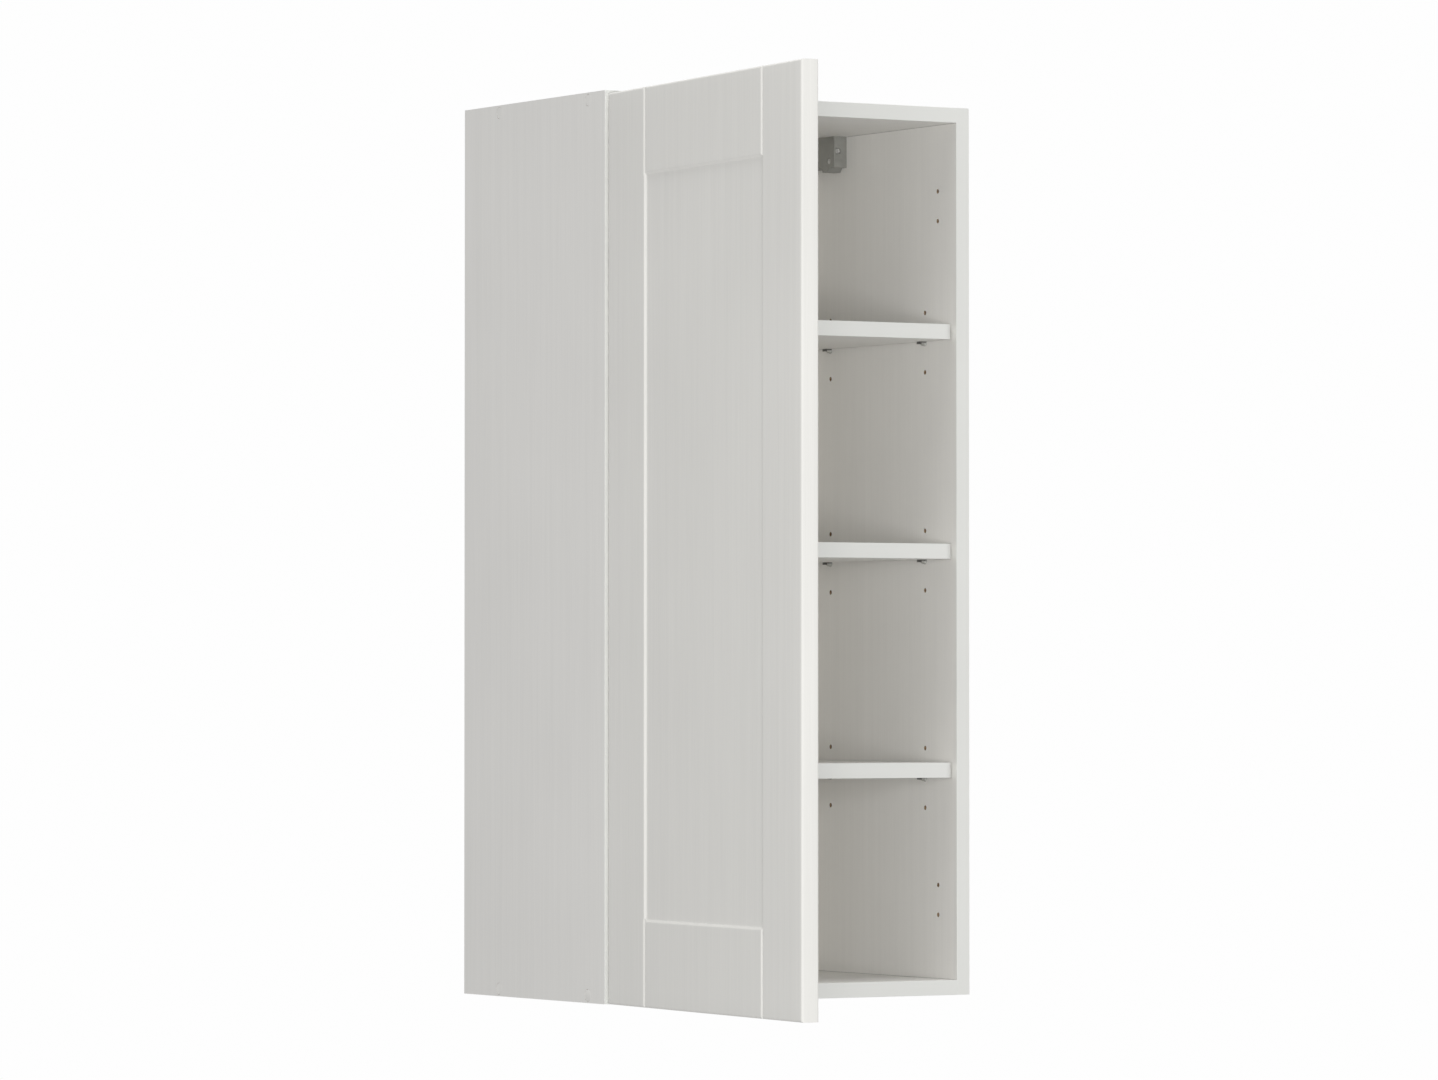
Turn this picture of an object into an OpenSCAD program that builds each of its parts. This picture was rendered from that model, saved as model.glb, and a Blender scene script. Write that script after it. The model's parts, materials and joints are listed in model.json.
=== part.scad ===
// Wall cabinet with one framed door on two concealed hinges and three adjustable shelves.
// The origin lies on the wall plane, at the middle of the width and level with the underside.
// X runs along the wall, Y into the wall, Z up. The door hangs on the left and stands open.

/* [Carcass] */
// Width over the side boards
body_w = 450; // [380:1:600]
// Depth from the front edge to the wall
body_d = 300; // [280:1:350]
// Height over the top and bottom boards
body_h = 947; // [900:1:1100]
// Thickness of the carcass boards
board_t = 16; // [15:0.5:18]
// Thickness of the bands on the front edges
band_t = 0.8; // [0.5:0.1:1.2]
// Edge rounding of the bands
band_r = 0.4; // [0.1:0.1:0.5]
// Thickness of the back panel
back_t = 3; // [2.5:0.5:4]
// Room between the back panel and the wall
back_recess = 15; // [14:0.5:18]
// Depth of the grooves that hold the back panel
groove_depth = 6; // [4:0.5:7]

/* [Shelves] */
// Thickness of a shelf
shelf_t = 16; // [15:0.5:19]
// Height of the lower shelf support hole above the underside
pin_z_lower = 230.5; // [215:0.5:250]
// Height of the middle shelf support hole above the underside
pin_z_middle = 464; // [440:0.5:480]
// Height of the upper shelf support hole above the underside
pin_z_upper = 698.5; // [680:0.5:715]
// Radius of the rounded front corners in plan
shelf_corner_r = 11; // [5:0.5:15]
// Play between a shelf and each side board
shelf_side_gap = 1; // [0.5:0.1:1.5]
// Set-back of the shelves from the front edge
shelf_front_gap = 2.5; // [2:0.5:6]
// Play between a shelf and the back panel
shelf_back_gap = 1; // [0.5:0.5:3]

/* [Drilled rows] */
// Step between the holes of a row
row_pitch = 32; // [32:32:32]
// Diameter of the drilled holes
row_hole_d = 5; // [4.8:0.1:5.4]
// Depth of the drilled holes
row_hole_depth = 12; // [10:0.5:13]
// Hinge plate row, measured from the front edge
hinge_row_y = 37; // [36:0.5:38]
// Front row of shelf support holes, measured from the front edge
pin_front_y = 62.5; // [61:0.5:70]
// Back row of shelf support holes, measured from the wall
pin_back_inset = 45.5; // [40:0.5:60]

/* [Shelf supports] */
// Length of the plate under the shelf
spade_len = 11; // [9:0.5:13]
// Width of the plate
spade_w = 8; // [7:0.5:10]
// Thickness of the plate
spade_t = 1.5; // [1.2:0.1:2]
// Height of the shelf underside above the centre of the hole
spade_rise = 1; // [0.5:0.1:1.5]
// Drop of the gusset below the centre of the hole
gusset_drop = 5.5; // [4:0.5:7]

/* [Door] */
// Thickness of the door
door_t = 18.5; // [18:0.5:20]
// Play between the door edge and the outer side of the carcass
door_side_gap = 2; // [1.5:0.5:3]
// Play at the upper edge
door_top_gap = 3.3; // [2:0.1:4]
// Play at the lower edge
door_bottom_gap = 0.2; // [0.1:0.1:2]
// Edge rounding round the face
door_edge_r = 2.5; // [1.5:0.5:3]
// Width of the stiles, to the line of the groove
stile_w = 87.5; // [70:0.5:100]
// Width of the rails, to the line of the step
rail_w = 89; // [70:0.5:110]
// Depth of the sunk panel
sunk_depth = 3.5; // [2:0.5:4]
// Run of the sloping step round the sunk panel
sunk_run = 2.2; // [1.5:0.1:4]
// Width of the V grooves in the rails
vee_w = 6; // [4:0.5:7]
// Depth of the V grooves
vee_depth = 3; // [1.5:0.5:3]

/* [Hinges] */
// Height of the lower hinge above the underside
hinge_z_lower = 100.2; // [95:0.1:120]
// Distance of the upper hinge below the top
hinge_inset_upper = 103.1; // [95:0.1:120]
// Angle at which the door stands open
open_angle = 95; // [90:0.5:97]
// Distance of the closed door from the front edge
closed_gap = 2.5; // [2.3:0.1:3]
// Distance of the open door's edge from the front edge
open_gap = 3; // [3:0.1:3.5]
// Cup diameter
cup_d = 35; // [35:35:35]
// Depth of the cup in the door
cup_depth = 12.2; // [12:0.1:13]
// Distance from the door edge to the cup
cup_edge = 4; // [4:0.5:4.5]
// Thickness of the mounting plate
plate_t = 4; // [3.5:0.5:4.5]
// Length of the hinge arm behind the front edge
arm_len = 62; // [58:1:70]

/* [Fasteners] */
// Length of the carcass screws
screw_len = 50; // [45:1:60]
// Front row of carcass screws, measured from the front edge
screw_front_y = 35; // [30:1:45]
// Back row of carcass screws, measured from the wall
screw_back_inset = 76; // [60:1:85]
// Diameter of the cover caps
cap_d = 12.5; // [12:0.1:14]
// Diameter of the dowels
dowel_d = 8; // [7:0.5:8]
// Length of the dowels
dowel_len = 30; // [28:1:35]

/* [Cabinet hangers] */
// Width of the hanger housing
hanger_w = 16; // [15:0.5:20]
// Height of the hanger housing
hanger_h = 34; // [32:1:40]
// Length of the hanger housing, from the back panel
hanger_len = 61; // [56:1:65]
// Thickness of the hook plate
hook_t = 2.5; // [2:0.5:3]
// Drop of the lug under the housing
lug_drop = 4.5; // [3:0.5:6]

/* [Hidden] */
$fn = 64;

// Colours
board_white = [0.80, 0.80, 0.78];
band_white = [0.88, 0.88, 0.86];
door_white = [0.80, 0.80, 0.77];
hanger_grey = [0.42, 0.42, 0.40];
steel = [0.72, 0.73, 0.74];
dark_steel = [0.52, 0.53, 0.54];
beech = [0.80, 0.66, 0.47];
rubber_clear = [0.90, 0.91, 0.92];

// How far a cut runs past the face that it opens
over = 1;
// Play of a fixed part in its hole, on the radius
snug = 0.05;
// Play of a pivot pin in the link that turns on it, on the radius
run_play = 0.08;
// Space kept between two parts that stay apart
clear = 0.3;

// Carcass
inner_w = body_w - 2 * board_t;
back_front_y = body_d - back_recess - back_t;
back_play = 0.1;
back_bite = groove_depth - 0.5;

// Shelves
pin_heights = [pin_z_lower, pin_z_middle, pin_z_upper];
pin_columns = [pin_front_y, body_d - pin_back_inset];
shelf_w = inner_w - 2 * shelf_side_gap;
shelf_d = back_front_y - shelf_back_gap - shelf_front_gap;
pin_len = 9;
collar_t = 0.8 * shelf_side_gap;
gusset_t = 2;
lip_t = 1.2;
lip_drop = 3.2;

// Fasteners
screw_rows = [screw_front_y, body_d - screw_back_inset];
cap_t = 1.2;
cap_play = 0.1;
screw_head_r = 5;
screw_neck_r = 3.5;
screw_head_h = 3.2;
screw_core_r = 2.45;
socket_r = 2.3;
socket_depth = 3;
stem_r = 1.8;
dowel_offset = 32;
dowel_in_side = 10;

// Door, whose own frame has X from the hinge edge, Y from the face to the back, Z from its lower edge
door_w = body_w - 2 * door_side_gap;
door_h = body_h - door_top_gap - door_bottom_gap;
buffer_r = 4;
buffer_t = closed_gap - clear;
buffer_inset = 20;

// Hinge pivots, seen from above: the cup pivot travels from its open to its closed place on an arc
cup_r = cup_d / 2;
cup_centre = cup_edge + cup_r;
cup_pivot = [cup_edge + 5, door_t - 4.5];
open_shift = 0.1;
open_corner = [door_side_gap + open_shift, -open_gap];
closed_corner = [door_side_gap, -(closed_gap + door_t)];
cup_open = open_corner + turned(cup_pivot, -open_angle);
cup_closed = closed_corner + cup_pivot;
travel = cup_closed - cup_open;
pivot_reach = 21;
arm_pivot = (cup_open + cup_closed) / 2 + pivot_reach * [travel.y, -travel.x] / norm(travel);
link_len = norm(cup_open - arm_pivot);
link_angle = atan2(cup_open.y - arm_pivot.y, cup_open.x - arm_pivot.x);

// Hinge link, in its own frame with X from the arm pivot to the cup pivot
eye_r = 2.6;
link_half_w = 2.2;
link_half_z = 6.1;
cheek_t = 1.6;
web_t = 1.2;
link_bend = [link_len - 6.7, 4];
link_tip = [link_len - 3.2, 3.2];
link_path = [[0, 0], link_bend, link_tip, [link_len, 0]];
inner_half_w = 1.3;
inner_gap = 0.4;
inner_start = 4.4;
inner_hole_r = 0.6;
inner_bend_back = 1;
inner_tip_back = [1, 0.8];

// Hinge cup
cup_floor = 3;
flange_t = 1.2;
flange_r = 19;
pocket_half_z = 6.5;
pocket_wall = 1.9;
pocket_len = 30;
rim_drop = 1;
wing_r = 6;
cup_screw_x = cup_centre + 6;
cup_screw_z = 24;
cup_screw_r = 1.7;
cup_screw_len = 11;
pin_r = 1.25;
cup_pin_half = 8.5;

// Hinge arm and its plate
arm_half_z = 8.2;
arm_cheek = 1.2;
arm_nose_r = 2.6;
arm_rise = 3.1;
arm_web = 1.5;
arm_neck = 8;
arm_base_x = board_t + plate_t;
arm_top_x = arm_pivot.x + arm_rise;
rivet_r = 2;
rivet_t = 0.5;
plate_front = 22;
plate_back = arm_len - 2;
wing_half_y = 7;
wing_half_z = 25;
plate_screw_z = row_pitch / 2;
plate_screw_r = row_hole_d / 2 + 0.6;
plate_head_r = 4.5;
plate_head_h = 2.2;
adjust_y = [28, 48];
adjust_shank_r = 1.9;
adjust_head_r = 3.2;
adjust_head_h = 1.8;
slot_w = 0.9;
slot_reach = 0.6;
slot_depth = 1;

// Cabinet hanger
wall = 2;
hanger_top = body_h - board_t;
hanger_front = back_front_y - hanger_len;
hanger_mid_z = hanger_top - hanger_h / 2;
lug_start = 8;
lug_len = 12;
peg_r = 5;
peg_len = 11;
peg_places = [14, 46];
hook_h = 16;
hook_start = 11;
hook_travel = 5;
claw_gap = 8;
claw_t = 3;
claw_drop = 6;
window_play = 1;
depth_screw_z = hanger_mid_z + 1;
lift_screw_z = hanger_mid_z - 10;
lift_screw_y = hanger_front + 11;
depth_screw_in = 5;
screw_hole_r = 3.4;
hanger_screw_r = 3.1;
hanger_shank_r = 1.6;
hanger_head_h = 2.5;

hinge_heights = [hinge_z_lower, body_h - hinge_inset_upper];

function turned(p, deg) = [p.x * cos(deg) - p.y * sin(deg), p.x * sin(deg) + p.y * cos(deg)];

// Puts a shape drawn from the carcass's front left lower corner in its place
module placed() {
    translate([-body_w / 2, -body_d, 0]) children();
}

// Repeats a shape for the right side, mirrored about the middle of the width
module right_hand() {
    translate([body_w, 0, 0]) mirror([1, 0, 0]) children();
}

// The door's own frame, in the open position
module on_door() {
    translate([open_corner.x, open_corner.y, door_bottom_gap]) rotate([0, 0, -open_angle]) children();
}

// A cylinder along X that starts at x
module along_x(x, y, z, r, len) {
    translate([x, y, z]) rotate([0, 90, 0]) cylinder(r = r, h = len);
}

// A cylinder along Y that starts at y
module along_y(x, y, z, r, len) {
    translate([x, y, z]) rotate([-90, 0, 0]) cylinder(r = r, h = len);
}

// A box between two corners
module block(low, high) {
    translate(low) cube(high - low);
}

// A rectangle with its two front corners rounded, front at y = 0
module soft_front(w, d, r) {
    translate([0, r]) square([w, d - r]);
    translate([r, 0]) square([w - 2 * r, d]);
    translate([r, r]) circle(r);
    translate([w - r, r]) circle(r);
}

// All drilled holes of the left side board's inner face, those of the hinge row in a radius of their own
module drilled_rows(hinge_hole_r) {
    for (z = hinge_heights)
        for (dz = [-row_pitch / 2, row_pitch / 2])
            along_x(board_t - row_hole_depth, hinge_row_y, z + dz, hinge_hole_r, row_hole_depth + over);
    for (y = pin_columns)
        for (z = pin_heights)
            for (dz = [-row_pitch, 0, row_pitch])
                along_x(board_t - row_hole_depth, y, z + dz, row_hole_d / 2, row_hole_depth + over);
}

// Screw and dowel holes of the left side board, for the top and bottom boards
module joint_holes() {
    for (z = [board_t / 2, body_h - board_t / 2]) {
        for (y = screw_rows) {
            along_x(-over, y, z, cap_d / 2 + cap_play, cap_t + over);
            translate([cap_t, y, z]) rotate([0, 90, 0])
                cylinder(r1 = screw_head_r + cap_play, r2 = screw_neck_r + cap_play, h = screw_head_h);
            along_x(0, y, z, screw_neck_r + cap_play, board_t + over);
        }
        for (y = dowel_rows())
            along_x(board_t - dowel_in_side - clear, y, z, dowel_d / 2, dowel_in_side + clear + over);
    }
}

function dowel_rows() = [screw_rows[0] + dowel_offset, screw_rows[1] - dowel_offset];

// Groove for the back panel in a board's inner face, along Z
module back_groove_z() {
    block([board_t - groove_depth, back_front_y - back_play, board_t - groove_depth],
        [board_t + over, back_front_y + back_t + back_play, body_h - board_t + groove_depth]);
}

module side_board(hinge_hole_r) {
    difference() {
        block([0, band_t, 0], [board_t, body_d, body_h]);
        drilled_rows(hinge_hole_r);
        joint_holes();
        back_groove_z();
        for (y = peg_places)
            along_x(board_t - peg_len - clear, hanger_front + y, hanger_mid_z, peg_r, peg_len + clear + over);
    }
}

// The screws of the mounting plates have cut their thread in the left board's hinge holes
module side_left() {
    color(board_white) placed() side_board(plate_screw_r + snug);
}

module side_right() {
    color(board_white) placed() right_hand() side_board(row_hole_d / 2);
}

// A level board between the sides, drawn as the bottom board
module level_board() {
    difference() {
        block([board_t, band_t, 0], [body_w - board_t, body_d, board_t]);
        block([board_t - over, back_front_y - back_play, board_t - groove_depth],
            [body_w - board_t + over, back_front_y + back_t + back_play, board_t + over]);
        for (x = [board_t - over, body_w - screw_len - cap_t]) {
            for (y = screw_rows)
                along_x(x, y, board_t / 2, screw_core_r + snug, screw_len - board_t + cap_t + over);
        }
        for (y = dowel_rows()) {
            along_x(board_t - over, y, board_t / 2, dowel_d / 2, dowel_len - dowel_in_side + clear + over);
            along_x(body_w - board_t - dowel_len + dowel_in_side - clear, y, board_t / 2, dowel_d / 2,
                dowel_len - dowel_in_side + clear + over);
        }
    }
}

module bottom_panel() {
    color(board_white) placed() level_board();
}

module top_panel() {
    color(board_white) placed() translate([0, 0, body_h]) mirror([0, 0, 1]) level_board();
}

// The back panel, with a window in each upper corner for the hanger's hook
module back_panel() {
    window_low = hanger_mid_z - hook_h / 2 - hook_travel - window_play;
    window_high = hanger_mid_z + hook_h / 2 + hook_travel + window_play;
    color(board_white) placed() difference() {
        block([board_t - back_bite, back_front_y, board_t - back_bite],
            [body_w - board_t + back_bite, back_front_y + back_t, body_h - board_t + back_bite]);
        for (x = [board_t + wall, body_w - board_t - hanger_w + wall])
            block([x, back_front_y - over, window_low],
                [x + hanger_w - 2 * wall, back_front_y + back_t + over, window_high]);
    }
}

module side_band() {
    linear_extrude(body_h) soft_front(board_t, band_t, band_r);
}

module level_band() {
    translate([body_w - board_t, 0, 0]) rotate([0, -90, 0])
        linear_extrude(inner_w) soft_front(board_t, band_t, band_r);
}

module edge_band_left() {
    color(band_white) placed() side_band();
}

module edge_band_right() {
    color(band_white) placed() right_hand() side_band();
}

module edge_band_bottom() {
    color(band_white) placed() level_band();
}

module edge_band_top() {
    color(band_white) placed() translate([0, 0, body_h - board_t]) level_band();
}

// One carcass screw, from its head along X
module carcass_screw() {
    difference() {
        union() {
            rotate([0, 90, 0]) cylinder(r1 = screw_head_r, r2 = screw_neck_r, h = screw_head_h);
            along_x(0, 0, 0, screw_neck_r, board_t - cap_t);
            along_x(0, 0, 0, screw_core_r, screw_len - clear);
        }
        translate([-over, 0, 0]) rotate([0, 90, 0]) cylinder(r = socket_r, h = socket_depth + over, $fn = 6);
    }
}

module four_screw_places(side_x) {
    for (y = screw_rows)
        for (z = [board_t / 2, body_h - board_t / 2])
            translate([side_x, y, z]) children();
}

module carcass_screws() {
    color(steel) placed() {
        four_screw_places(cap_t) carcass_screw();
        right_hand() four_screw_places(cap_t) carcass_screw();
    }
}

// One cover cap, flush with the board, with a stem in the screw's socket
module screw_cap() {
    along_x(0, 0, 0, cap_d / 2, cap_t);
    along_x(0, 0, 0, stem_r, cap_t + socket_depth - over);
}

module screw_caps() {
    color(band_white) placed() {
        four_screw_places(0) screw_cap();
        right_hand() four_screw_places(0) screw_cap();
    }
}

module side_dowels() {
    for (y = dowel_rows())
        for (z = [board_t / 2, body_h - board_t / 2])
            along_x(board_t - dowel_in_side, y, z, dowel_d / 2 - snug, dowel_len);
}

module carcass_dowels() {
    color(beech) placed() {
        side_dowels();
        right_hand() side_dowels();
    }
}

// Plan of a shelf's front half, drawn smaller by the inset along its front and corners
module shelf_front_plan(inset) {
    r = shelf_corner_r - inset;
    translate([shelf_corner_r, inset]) square([shelf_w - 2 * shelf_corner_r, shelf_corner_r - inset]);
    translate([shelf_corner_r, shelf_corner_r]) circle(r);
    translate([shelf_w - shelf_corner_r, shelf_corner_r]) circle(r);
}

module shelf_board(pin_z) {
    translate([board_t + shelf_side_gap, shelf_front_gap, pin_z + spade_rise]) linear_extrude(shelf_t) {
        intersection() {
            shelf_front_plan(band_t);
            square([shelf_w, shelf_corner_r]);
        }
        translate([0, shelf_corner_r]) square([shelf_w, shelf_d - shelf_corner_r]);
    }
}

// The band that wraps a shelf's front and its rounded corners
module shelf_band(pin_z) {
    translate([board_t + shelf_side_gap, shelf_front_gap, pin_z + spade_rise]) linear_extrude(shelf_t)
        intersection() {
            difference() {
                shelf_front_plan(0);
                shelf_front_plan(band_t);
            }
            square([shelf_w, shelf_corner_r]);
        }
}

module shelf_lower() {
    color(board_white) placed() shelf_board(pin_z_lower);
}

module shelf_middle() {
    color(board_white) placed() shelf_board(pin_z_middle);
}

module shelf_upper() {
    color(board_white) placed() shelf_board(pin_z_upper);
}

module shelf_band_lower() {
    color(band_white) placed() shelf_band(pin_z_lower);
}

module shelf_band_middle() {
    color(band_white) placed() shelf_band(pin_z_middle);
}

module shelf_band_upper() {
    color(band_white) placed() shelf_band(pin_z_upper);
}

// One support: a pin in the hole, a collar on the board and a plate on a gusset under the shelf
module shelf_support() {
    along_x(-pin_len, 0, 0, row_hole_d / 2 - snug, pin_len);
    along_x(0, 0, spade_w / 2 - gusset_drop, spade_w / 2, collar_t);
    block([0, -spade_w / 2, spade_rise - spade_t], [spade_len, spade_w / 2, spade_rise]);
    block([spade_len - lip_t, -spade_w / 2, -lip_drop], [spade_len, spade_w / 2, spade_rise]);
    translate([0, gusset_t / 2, 0]) rotate([90, 0, 0]) linear_extrude(gusset_t)
        polygon([[0, spade_rise - spade_t / 2], [spade_len - lip_t, spade_rise - spade_t / 2],
            [spade_len - lip_t, -lip_drop / 2], [collar_t, over - gusset_drop], [0, over - gusset_drop]]);
}

module support_pair(pin_z) {
    for (y = pin_columns)
        translate([board_t, y, pin_z]) shelf_support();
}

module four_supports(pin_z) {
    color(steel) placed() {
        support_pair(pin_z);
        right_hand() support_pair(pin_z);
    }
}

module shelf_supports_lower() {
    four_supports(pin_z_lower);
}

module shelf_supports_middle() {
    four_supports(pin_z_middle);
}

module shelf_supports_upper() {
    four_supports(pin_z_upper);
}

// Hanger housing in the left upper back corner: a shell that is open to the back
module hanger_housing() {
    inner_x = board_t + hanger_w;
    low = hanger_top - hanger_h;
    lug_y = hanger_front + lug_start;
    difference() {
        union() {
            block([board_t, hanger_front, low], [inner_x, back_front_y, hanger_top]);
            translate([board_t, 0, 0]) rotate([90, 0, 90]) linear_extrude(hanger_w)
                polygon([[lug_y, low + over], [lug_y + lug_drop, low - lug_drop],
                    [lug_y + lug_drop + lug_len, low - lug_drop], [lug_y + lug_drop + lug_len, low + over]]);
        }
        block([board_t + wall, hanger_front + wall, low + wall],
            [inner_x - wall, back_front_y + over, hanger_top - wall]);
        along_y(inner_x - depth_screw_in, hanger_front - over, depth_screw_z, screw_hole_r, wall + 2 * over);
        along_x(inner_x - wall - over, lift_screw_y, lift_screw_z, screw_hole_r, wall + 2 * over);
    }
}

// The hook: a plate that reaches through the back panel and turns down behind it
module hanger_hook() {
    mid_x = board_t + hanger_w / 2;
    low = hanger_mid_z - hook_h / 2;
    high = hanger_mid_z + hook_h / 2;
    claw_y = back_front_y + back_t + claw_gap;
    translate([mid_x - hook_t / 2, 0, 0]) rotate([90, 0, 90]) linear_extrude(hook_t)
        polygon([[hanger_front + hook_start, low], [back_front_y + back_t, low],
            [back_front_y + back_t, high - claw_drop], [claw_y, high - claw_drop], [claw_y, low],
            [claw_y + claw_t, low], [claw_y + claw_t, high], [hanger_front + hook_start, high]]);
}

// A screw head with a cross slot and its shank, along Z
module crossed_screw(head_r, head_h, shank_r, shank_len) {
    difference() {
        cylinder(r = head_r, h = head_h);
        for (a = [0, 90])
            rotate([0, 0, a])
                block([-slot_reach * head_r, -slot_w / 2, -over],
                    [slot_reach * head_r, slot_w / 2, slot_depth]);
    }
    translate([0, 0, head_h]) cylinder(r = shank_r, h = shank_len);
}

module hanger_screws() {
    inner_x = board_t + hanger_w;
    hook_side = board_t + hanger_w / 2 + hook_t / 2;
    translate([inner_x - depth_screw_in, hanger_front + clear, depth_screw_z]) rotate([-90, 0, 0])
        crossed_screw(hanger_screw_r, hanger_head_h, hanger_shank_r, hook_start - hanger_head_h - 2 * clear);
    translate([inner_x - clear, lift_screw_y, lift_screw_z]) rotate([0, -90, 0])
        crossed_screw(hanger_screw_r, hanger_head_h, hanger_shank_r,
            inner_x - clear - hanger_head_h - hook_side - clear);
}

module hanger_housing_left() {
    color(hanger_grey) placed() hanger_housing();
}

module hanger_housing_right() {
    color(hanger_grey) placed() right_hand() hanger_housing();
}

module hanger_hook_left() {
    color(steel) placed() hanger_hook();
}

module hanger_hook_right() {
    color(steel) placed() right_hand() hanger_hook();
}

module hanger_screws_left() {
    color(dark_steel) placed() hanger_screws();
}

module hanger_screws_right() {
    color(dark_steel) placed() right_hand() hanger_screws();
}

module side_pegs() {
    for (y = peg_places)
        along_x(board_t - peg_len, hanger_front + y, hanger_mid_z, peg_r - snug, peg_len);
}

module hanger_pegs() {
    color(hanger_grey) placed() {
        side_pegs();
        right_hand() side_pegs();
    }
}

// Section of the sunk panel across one direction, between two lines of the frame
module sunk_section(from, to) {
    half = sunk_run / 2;
    rise = over * sunk_run / sunk_depth;
    polygon([[from - half - rise, -over], [to + half + rise, -over], [to - half, sunk_depth],
        [from + half, sunk_depth]]);
}

module sunk_panel() {
    intersection() {
        linear_extrude(door_h) sunk_section(stile_w, door_w - stile_w);
        translate([door_w, 0, 0]) rotate([0, -90, 0]) linear_extrude(door_w)
            sunk_section(rail_w, door_h - rail_w);
    }
}

// V grooves where the rails meet the stiles
module vee_grooves() {
    rise = over * vee_w / 2 / vee_depth;
    rail_len = rail_w + sunk_run / 2;
    for (x = [stile_w, door_w - stile_w])
        for (z = [-over, door_h - rail_len])
            translate([x, 0, z]) linear_extrude(rail_len + over)
                polygon([[-vee_w / 2 - rise, -over], [vee_w / 2 + rise, -over], [0, vee_depth]]);
}

module cup_places() {
    for (z = hinge_heights)
        translate([0, 0, z - door_bottom_gap]) children();
}

module door_panel() {
    color(door_white) placed() on_door() difference() {
        intersection() {
            linear_extrude(door_h) soft_front(door_w, door_t, door_edge_r);
            translate([door_w, 0, 0]) rotate([0, -90, 0]) linear_extrude(door_w)
                soft_front(door_h, door_t, door_edge_r);
        }
        sunk_panel();
        vee_grooves();
        cup_places() {
            along_y(cup_centre, door_t - cup_depth - clear, 0, cup_r + snug, cup_depth + clear + over);
            for (z = [-cup_screw_z, cup_screw_z])
                along_y(cup_screw_x, door_t - cup_screw_len - clear, z, cup_screw_r + snug,
                    cup_screw_len + clear + over);
        }
    }
}

module door_buffers() {
    color(rubber_clear) placed() on_door() for (z = [buffer_inset, door_h - buffer_inset])
        along_y(door_w - board_t / 2, door_t, z, buffer_r, buffer_t);
}

// The cup, with its flange on the back of the door and a pocket for the links
module hinge_cup() {
    pocket_start = cup_edge + pocket_wall;
    difference() {
        union() {
            along_y(cup_centre, door_t - cup_depth, 0, cup_r, cup_depth);
            along_y(cup_centre, door_t, 0, flange_r, flange_t);
            for (z = [-cup_screw_z, cup_screw_z])
                along_y(cup_screw_x, door_t, z, wing_r, flange_t);
            block([cup_screw_x - wing_r, door_t, -cup_screw_z],
                [cup_screw_x + wing_r, door_t + flange_t, cup_screw_z]);
        }
        block([pocket_start, door_t - cup_depth + cup_floor, -pocket_half_z],
            [pocket_start + pocket_len, door_t + flange_t + over, pocket_half_z]);
        block([0, door_t - rim_drop, -pocket_half_z], [cup_centre, door_t + flange_t + over, pocket_half_z]);
        translate([cup_pivot.x, cup_pivot.y, -cup_pin_half - snug])
            cylinder(r = pin_r + snug, h = 2 * (cup_pin_half + snug));
        for (z = [-cup_screw_z, cup_screw_z])
            along_y(cup_screw_x, door_t - over, z, cup_screw_r + clear, flange_t + 2 * over);
    }
}

module cup_screws() {
    for (z = [-cup_screw_z, cup_screw_z])
        translate([cup_screw_x, door_t + flange_t + adjust_head_h, z]) rotate([90, 0, 0])
            crossed_screw(adjust_head_r, adjust_head_h, cup_screw_r, cup_screw_len + flange_t);
}

module cup_pin() {
    translate([cup_pivot.x, cup_pivot.y, -cup_pin_half]) cylinder(r = pin_r, h = 2 * cup_pin_half);
}

// Puts a shape drawn round a cup on the door, at one hinge height
module at_cup(z) {
    placed() on_door() translate([0, 0, z - door_bottom_gap]) children();
}

// Puts a shape drawn round the arm, at one hinge height
module at_arm(z) {
    placed() translate([0, 0, z]) children();
}

// Puts a shape drawn in the link's own frame at the arm pivot, at one hinge height
module at_link(z) {
    placed() translate([arm_pivot.x, arm_pivot.y, z]) rotate([0, 0, link_angle]) children();
}

// A straight strip between two points with round ends
module strip(from, to, half) {
    span = to - from;
    translate(from) rotate([0, 0, atan2(span.y, span.x)]) translate([0, -half])
        square([norm(span), 2 * half]);
    translate(from) circle(half);
    translate(to) circle(half);
}

// Side view of the outer link's strip, with mitred bends
module link_strip() {
    last = len(link_path) - 1;
    side_a = [for (i = [0 : last]) link_path[i] + link_half_w * edge_shift(i)];
    side_b = [for (i = [last : -1 : 0]) link_path[i] - link_half_w * edge_shift(i)];
    polygon(concat(side_a, side_b));
}

// Unit direction of one stretch of the link's path
function run_of(i) = (link_path[i + 1] - link_path[i]) / norm(link_path[i + 1] - link_path[i]);

// Where the strip's edge lies at a path point, for a half width of one: square at the ends, mitred between
function edge_shift(i) =
    let (u = run_of(max(i - 1, 0)))
    let (v = run_of(min(i, len(link_path) - 2)))
    [-(u.y + v.y), u.x + v.x] / (1 + u * v);

// The outer link: two cheeks with a web between them on the outside of the bend
module hinge_link() {
    inner_z = link_half_z - cheek_t;
    slope = atan2(link_bend.y, link_bend.x);
    reach = 2 * link_len;
    difference() {
        union() {
            translate([0, 0, -link_half_z]) linear_extrude(2 * link_half_z) link_strip();
            for (x = [0, link_len])
                translate([x, 0, -link_half_z]) cylinder(r = eye_r, h = 2 * link_half_z);
        }
        rotate([0, 0, slope]) {
            block([-reach, -reach, -inner_z], [reach, link_half_w - web_t, inner_z]);
            block([-reach, -reach, -inner_z], [inner_start, reach, inner_z]);
            block([norm(link_bend), -reach, -inner_z], [reach, reach, inner_z]);
        }
        for (x = [0, link_len])
            translate([x, 0, -link_half_z - over])
                cylinder(r = pin_r + run_play, h = 2 * (link_half_z + over));
    }
}

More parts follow.
